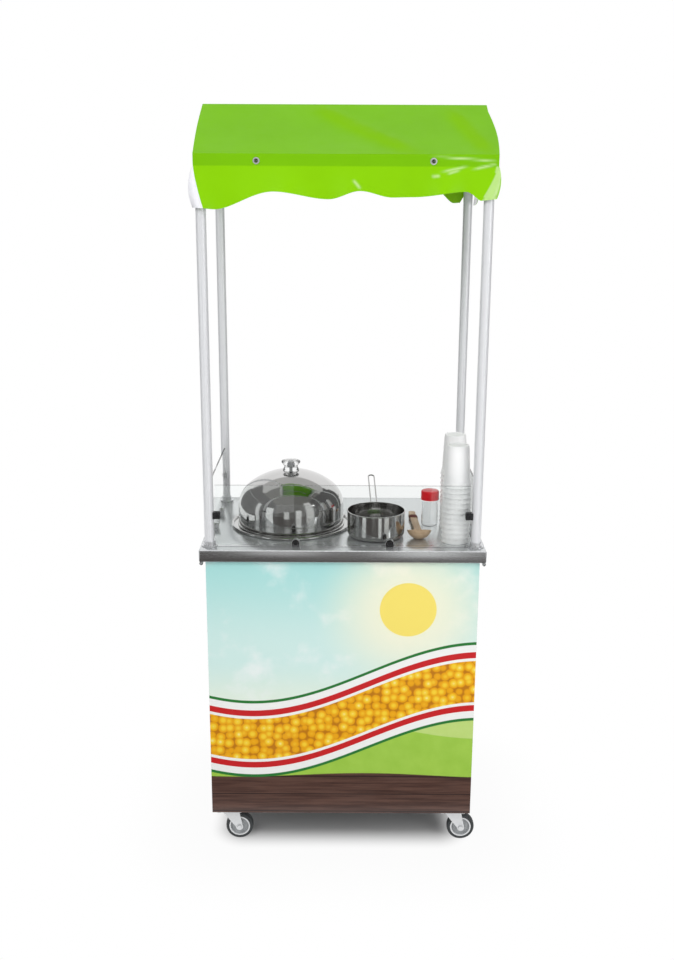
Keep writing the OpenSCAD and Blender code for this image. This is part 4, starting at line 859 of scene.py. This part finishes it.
# pieces taken from the frame with their edges eased
eased = {
    # node: width of the rounding in metres, body if not the cart, radius of a sheet's bends
    "worktop": (0.0006, "cart", 0.0032),
    "front_panel": (0.0008,),
    "side_panels": (0.0008,),
    "control_panel": (0.0004,),
    "glass_feet": (0.0009,),
    "glass_clamps": (0.0022,),
    "post_sockets": (0.001,),
    "castor_plates": (0.0006,),
    "corner_uprights": (0.0006,),
    "base_rails": (0.0006,),
    "roof_rails": (0.0006,),
    "switch_housing": (0.0005,),
    "power_inlet": (0.0005,),
    "switch_rocker": (0.0005, "switch_rocker"),
    "thermostat_knob": (0.0005, "thermostat_knob"),
    "door_left": (0.0005, "door_left"),
    "door_right": (0.0005, "door_right"),
    "spoon": (0.0014, "spoon"),
}
for corner in corners:
    eased["castor_fork_" + corner] = (0.0007, "castor_" + corner)


def finishPiece(piece, body, slot, *replaced):
    if not piece.data.materials:
        piece.data.materials.append(finishes[camel(slot)])
    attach(piece, body)
    if replaced:
        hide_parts(*replaced)
    return piece


def roundBends(mesh, radius):
    # the folded edges round the top of a tray, and its upright corners
    low = [min(vertex.co[axis] for vertex in mesh.vertices) for axis in range(3)]
    high = [max(vertex.co[axis] for vertex in mesh.vertices) for axis in range(3)]

    def sidesOf(point):
        return sum(min(point[axis] - low[axis], high[axis] - point[axis]) < 0.0001 for axis in (0, 1))

    setMode("EDIT", "DESELECT")
    bpy.ops.mesh.select_mode(type="EDGE")
    setMode("OBJECT")
    for edge in mesh.edges:
        first, second = (mesh.vertices[index].co for index in edge.vertices)
        onTop = min(first.z, second.z) > high[2] - 0.0001 and sidesOf((first + second) / 2.0) == 1
        edge.select = onTop or sidesOf(first) == sidesOf(second) == 2
    setMode("EDIT")
    bpy.ops.mesh.bevel(offset=radius, segments=4)
    setMode("OBJECT")


def easeEdges(nodeName, width, body="cart", bend=0.0):
    mesh = nodes[nodeName].data.copy()
    piece = addObject(camel(nodeName) + "Eased", mesh)
    activate(piece)
    setMode("EDIT", "SELECT")
    bpy.ops.mesh.remove_doubles(threshold=0.00001)
    bpy.ops.mesh.dissolve_limited(angle_limit=radians(0.5))
    setMode("OBJECT")
    bpy.ops.mesh.customdata_custom_splitnormals_clear()
    if bend:
        roundBends(mesh, bend)
    smooth(35.0)
    rounding = piece.modifiers.new("rounding", "BEVEL")
    rounding.width = width
    rounding.segments = 2
    rounding.limit_method = "ANGLE"
    rounding.angle_limit = radians(38.0)
    rounding.harden_normals = True
    bpy.ops.object.modifier_apply(modifier="rounding")
    return finishPiece(piece, body, slotOfNode[nodeName], nodeName)


for nodeName, measures in eased.items():
    piece = easeEdges(nodeName, *measures)
    if nodeName == "worktop":
        # painted light: the top gets a paler, less metallic copy of the sheet that looks lit from every side, and the
        # bend a painted highlight line in the bright finish; the lip keeps the plain sheet
        paintFaces(piece.data, "worktopSheet", lambda face: face.normal.z >= 0.97)
        paintFaces(piece.data, "brightTube", lambda face: 0.3 <= face.normal.z < 0.97)
    if nodeName == "glass_clamps":
        # the clamps at the back are bare metal
        paintFaces(piece.data, "zinc", lambda face: face.center.y > 0.0)
print("edges eased:", len(eased))


# turned pieces: a side view of radius and height, spun about an upright axis
def turned(name, profile, place, steps=64, closed=True):
    mesh = bpy.data.meshes.new(name)
    count = len(profile)
    edges = [(i, i + 1) for i in range(count - 1)]
    if closed:
        edges.append((count - 1, 0))
    mesh.from_pydata([(radius, 0.0, height) for radius, height in profile], edges, [])
    piece = addObject(name, mesh)
    activate(piece)
    setMode("EDIT", "SELECT")
    bpy.ops.mesh.spin(steps=steps, angle=2.0 * pi, center=(0.0, 0.0, 0.0), axis=(0.0, 0.0, 1.0))
    setMode("OBJECT")
    weld(0.000004)
    smooth(38.0)
    mesh.transform(Matrix.Translation(place))
    return piece


def copyOf(piece, name, matrix):
    other = addObject(name, piece.data.copy())
    other.data.transform(matrix)
    return other


def joined(name, parts):
    activate(parts[0])
    for part in parts:
        part.select_set(True)
    bpy.ops.object.join()
    parts[0].name = name
    return parts[0]


def middleOf(nodeName, height):
    # the middle of a node's box, at a height of its own
    low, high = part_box(nodeName)
    return (low.x + high.x) / 2.0, (low.y + high.y) / 2.0, height


# cups, nested upside down
cups = {
    "mouth": 0.037,
    "foot": 0.027,
    "tall": 0.11,
    "step": 0.0134,
    "wall": 0.0005,
    "count": 12,
}


def cupProfile():
    rim, foot, tall, wall = cups["mouth"] - 0.0012, cups["foot"], cups["tall"], cups["wall"]
    outside = [(rim + 0.0002, 0.0), (rim + 0.001, 0.0004), (cups["mouth"], 0.0013), (rim + 0.001, 0.0022),
               (rim, 0.0028), (rim - 0.0014, 0.012), (rim - 0.0022, 0.0126), (rim - 0.003, 0.02),
               (foot + 0.0022, tall - 0.012), (foot + 0.0006, tall - 0.0022), (foot - 0.0014, tall - 0.0004),
               (foot - 0.0035, tall), (foot - 0.0046, tall - 0.002), (0.0004, tall - 0.0026)]
    inside = [(max(0.0004, radius - wall), height - wall if height > 0.1 else height)
              for radius, height in outside[8:]]
    inside = inside[::-1] + [(rim - 0.003 - wall, 0.02), (rim - 0.0014 - wall, 0.012), (rim - wall, 0.0006)]
    return outside + inside


for stackBody in ("cups_front", "cups_rear"):
    stackNode = stackBody.replace("cups", "cup_stack")
    first = turned("cup", cupProfile(), middleOf(stackNode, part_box(stackNode)[0].z), steps=48)
    stack = [first]
    for i in range(1, cups["count"]):
        stack.append(copyOf(first, "cup", Matrix.Translation((0.0, 0.0, i * cups["step"]))))
    stack = joined(camel(stackBody) + "Nested", stack)
    smooth(38.0)
    finishPiece(stack, stackBody, "frosted_cups", stackNode)
print("cups nested")


# bottle cap with gripping ribs
cap = {"sides": 72, "ribs": 0.0005, "ribInset": 0.0003, "round": 0.0024, "wall": 0.002, "bore": 0.0173}


def makeCap():
    low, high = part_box("bottle_cap")
    radius = (high.x - low.x) / 2.0 - cap["ribs"]
    tall = high.z - low.z
    bpy.ops.mesh.primitive_cylinder_add(vertices=cap["sides"], radius=radius, depth=tall, location=(0.0, 0.0, 0.0))
    piece = bpy.context.object
    piece.name = "bottleCapRibbed"
    setMode("EDIT", "DESELECT")
    setMode("OBJECT")
    mesh = piece.data
    for face in mesh.polygons:
        face.select = face.normal.z < -0.5
    setMode("EDIT")
    bpy.ops.mesh.inset(thickness=radius - cap["bore"])
    bpy.ops.mesh.extrude_region_move(TRANSFORM_OT_translate={"value": (0.0, 0.0, tall - cap["wall"])})
    setMode("EDIT", "DESELECT")
    setMode("OBJECT")
    for edge in mesh.edges:
        ends = [mesh.vertices[index].co for index in edge.vertices]
        edge.select = all(end.z > tall / 2.0 - 0.0001 for end in ends)
    setMode("EDIT")
    bpy.ops.mesh.select_mode(type="EDGE")
    bpy.ops.mesh.bevel(offset=cap["round"], segments=4)
    setMode("EDIT", "DESELECT")
    bpy.ops.mesh.select_mode(type="FACE")
    setMode("OBJECT")
    for face in mesh.polygons:
        outside = abs(face.normal.z) < 0.1 and face.center.xy.length > radius - 0.001
        segment = int(round(atan2(face.center.y, face.center.x) * cap["sides"] / (2.0 * pi) - 0.5))
        face.select = outside and segment % 2 == 0
    setMode("EDIT")
    bpy.ops.mesh.inset(thickness=cap["ribInset"], depth=cap["ribs"], use_individual=True)
    setMode("OBJECT")
    smooth(30.0)
    mesh.transform(Matrix.Translation(middleOf("bottle_cap", (low.z + high.z) / 2.0)))
    finishPiece(piece, "bottle_cap", "red_plastic", "bottle_cap")


makeCap()
print("cap ribbed")


# clear knob of the lid, cast round its metal insert: wide head, waist and flared foot
knob = {
    "side": ((0.0, 0.0), (0.0217, 0.0), (0.022, 0.001), (0.0213, 0.0028), (0.0195, 0.0058), (0.0185, 0.0086),
             (0.0189, 0.0112), (0.0208, 0.0146), (0.0236, 0.0178), (0.0254, 0.0204), (0.0259, 0.0222), (0.0252, 0.0242),
             (0.0232, 0.0254), (0.018, 0.0259), (0.009, 0.026), (0.0, 0.026)),
}
foot = middleOf("lid_knob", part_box("lid_knob")[1].z - knob["side"][-1][1])
finishPiece(turned("lidKnobTurned", knob["side"], foot, closed=False), "lid", "clear_plastic", "lid_knob")
print("knob turned")


# twine bound round the spoon's handle
binding = {
    "start": 0.013,       # place along y where the winding starts and ends
    "end": 0.037,
    "turns": 10,
    "steps": 32,          # in a turn
    "twine": 0.00125,     # radius
    "halfWide": 0.009,
    "halfThick": 0.0035,
    "endHeight": 0.0035,  # middle of the handle over the worktop at its end
    "slope": 0.009 / 0.205,
    "skew": 0.0175,       # the handle leans to the left as it runs back
    "skewFrom": 0.0335,
}


def makeBinding():
    low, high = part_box("spoon")
    middle = (low.x + high.x) / 2.0
    corner = binding["halfThick"] + binding["twine"]
    flat = binding["halfWide"] - binding["halfThick"]
    count = binding["turns"] * binding["steps"]
    curve = bpy.data.curves.new("spoonBinding", "CURVE")
    curve.dimensions = "3D"
    curve.bevel_depth = binding["twine"]
    curve.bevel_resolution = 3
    curve.use_fill_caps = True
    spline = curve.splines.new("POLY")
    spline.points.add(count)
    for step, target in enumerate(spline.points):
        angle = 2.0 * pi * step / binding["steps"]
        y = binding["start"] + (binding["end"] - binding["start"]) * step / count
        x = corner * cos(angle) + flat * (1.0 if cos(angle) > 0.0 else -1.0)
        lift = low.z + binding["endHeight"] + binding["slope"] * (high.y - y)
        lean = binding["skew"] * (y - low.y - binding["skewFrom"])
        target.co = (middle - lean + x, y, lift + corner * sin(angle), 1.0)
    activate(addObject("spoonBinding", curve))
    bpy.ops.object.convert(target="MESH")
    piece = bpy.context.object
    bpy.ops.object.shade_smooth()
    piece.data.materials.append(finishes["bindingTwine"])
    finishPiece(piece, "spoon", "spoon_wood")


makeBinding()
print("spoon bound")


# castor wheels: banded tyre and stepped hub, turned once and laid down at each axle
wheel = {
    "rim": 0.0246,  # radius where the pale rim of the hub starts
    # half of each side view: radius and distance from the wheel's middle
    "tyre": ((0.02905, 0.011), (0.0296, 0.0119), (0.0318, 0.0121), (0.0322, 0.0116), (0.0326, 0.0121),
             (0.0342, 0.0118), (0.0362, 0.01), (0.0371, 0.0074), (0.0375, 0.003)),
    "hub": ((0.00408, 0.0132), (0.0084, 0.0132), (0.009, 0.0126), (0.0094, 0.006), (0.0126, 0.0048),
            (0.0132, 0.0058), (0.0158, 0.0058), (0.0164, 0.0046), (0.0222, 0.0042), (0.0236, 0.0064),
            (0.0244, 0.0104), (0.025, 0.011), (0.0284, 0.011), (0.029, 0.0104)),
}


def makeWheels():
    layDown = rotation(90.0, "X")
    for part, slot in (("tyre", "tyre_rubber"), ("hub", "hub_plastic")):
        side = [(radius, -off) for radius, off in wheel[part]] + list(reversed(wheel[part]))
        master = turned("wheel", side, (0.0, 0.0, 0.0), steps=72)
        master.data.materials.append(finishes[camel(slot)])
        if part == "hub":
            paintFaces(master.data, "zinc", lambda face: face.center.xy.length > wheel["rim"])
        for corner in corners:
            nodeName = "wheel_" + part + "_" + corner
            low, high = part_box(nodeName)
            centre = (low + high) / 2.0
            piece = copyOf(master, camel(nodeName) + "Turned", Matrix.Translation(centre) @ layDown)
            finishPiece(piece, "wheel_" + corner, slot, nodeName)
        bpy.data.objects.remove(master)


makeWheels()
print("wheels turned")


# rolled hem of the worktop's sides, open to the front below the ends of the lip
hem = {"outer": 0.0046, "inner": 0.0027, "inset": 0.0058, "below": 0.003, "length": 0.03}


def makeHems():
    low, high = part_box("worktop")
    side = ((hem["inner"], 0.0), (hem["outer"], 0.0), (hem["outer"], hem["length"]), (hem["inner"], hem["length"]))
    layBack = rotation(-90.0, "X")
    for name, x in (("lipHemLeft", low.x + hem["inset"]), ("lipHemRight", high.x - hem["inset"])):
        piece = turned(name, side, (0.0, 0.0, 0.0), steps=32)
        piece.data.transform(Matrix.Translation((x, low.y, low.z - hem["below"])) @ layBack)
        finishPiece(piece, "cart", "brushed_steel_sheet")


makeHems()
print("hems rolled")


# small screws in the glass feet and clamps
screws = {
    # radius, thickness, and places as x, y, z and turn in degrees
    "footScrews": (0.0053, 0.004, (
        (-0.12, -0.2211, 0.864, 0.0), (0.12, -0.2211, 0.864, 0.0), (0.3471, -0.072, 0.864, 90.0),
        (0.3471, 0.072, 0.864, 90.0), (-0.3471, -0.072, 0.864, -90.0), (-0.3471, 0.072, 0.864, -90.0))),
    "clampKnobs": (0.0078, 0.006, (
        (-0.3195, -0.2236, 0.936, 0.0), (0.3195, -0.2236, 0.936, 0.0), (-0.3496, -0.1935, 0.936, -90.0),
        (0.3496, -0.1935, 0.936, 90.0))),
    "rearClampScrews": (0.005, 0.005, ((-0.3496, 0.1935, 0.936, -90.0), (0.3496, 0.1935, 0.936, 90.0))),
}
# shares of a screw's radius and thickness
screwHead = {"chamfer": 0.18, "rise": 0.3, "rim": 0.34, "socket": 0.55}


def makeScrews(name, radius, thick, places):
    bpy.ops.mesh.primitive_cylinder_add(vertices=36, radius=radius, depth=thick, location=(0.0, 0.0, 0.0))
    master = bpy.context.object
    mesh = master.data
    for face in mesh.polygons:
        face.select = face.normal.z > 0.5
    for edge in mesh.edges:
        edge.select = False
    for vertex in mesh.vertices:
        vertex.select = vertex.co.z > 0.0
    setMode("EDIT")
    bpy.ops.mesh.select_mode(type="FACE")
    bpy.ops.mesh.inset(thickness=radius * screwHead["chamfer"], depth=thick * screwHead["rise"])
    bpy.ops.mesh.inset(thickness=radius * screwHead["rim"])
    bpy.ops.mesh.extrude_region_move(TRANSFORM_OT_translate={"value": (0.0, 0.0, -thick * screwHead["socket"])})
    setMode("OBJECT")
    smooth(30.0)
    upright = rotation(90.0, "X")
    parts = []
    for x, y, z, turn in places:
        matrix = Matrix.Translation((x, y, z)) @ rotation(turn, "Z") @ upright
        parts.append(copyOf(master, name, matrix))
    bpy.data.objects.remove(master)
    finishPiece(joined(name, parts), "cart", "black_plastic")


for screwName, measures in screws.items():
    makeScrews(screwName, *measures)
print("small screws set")
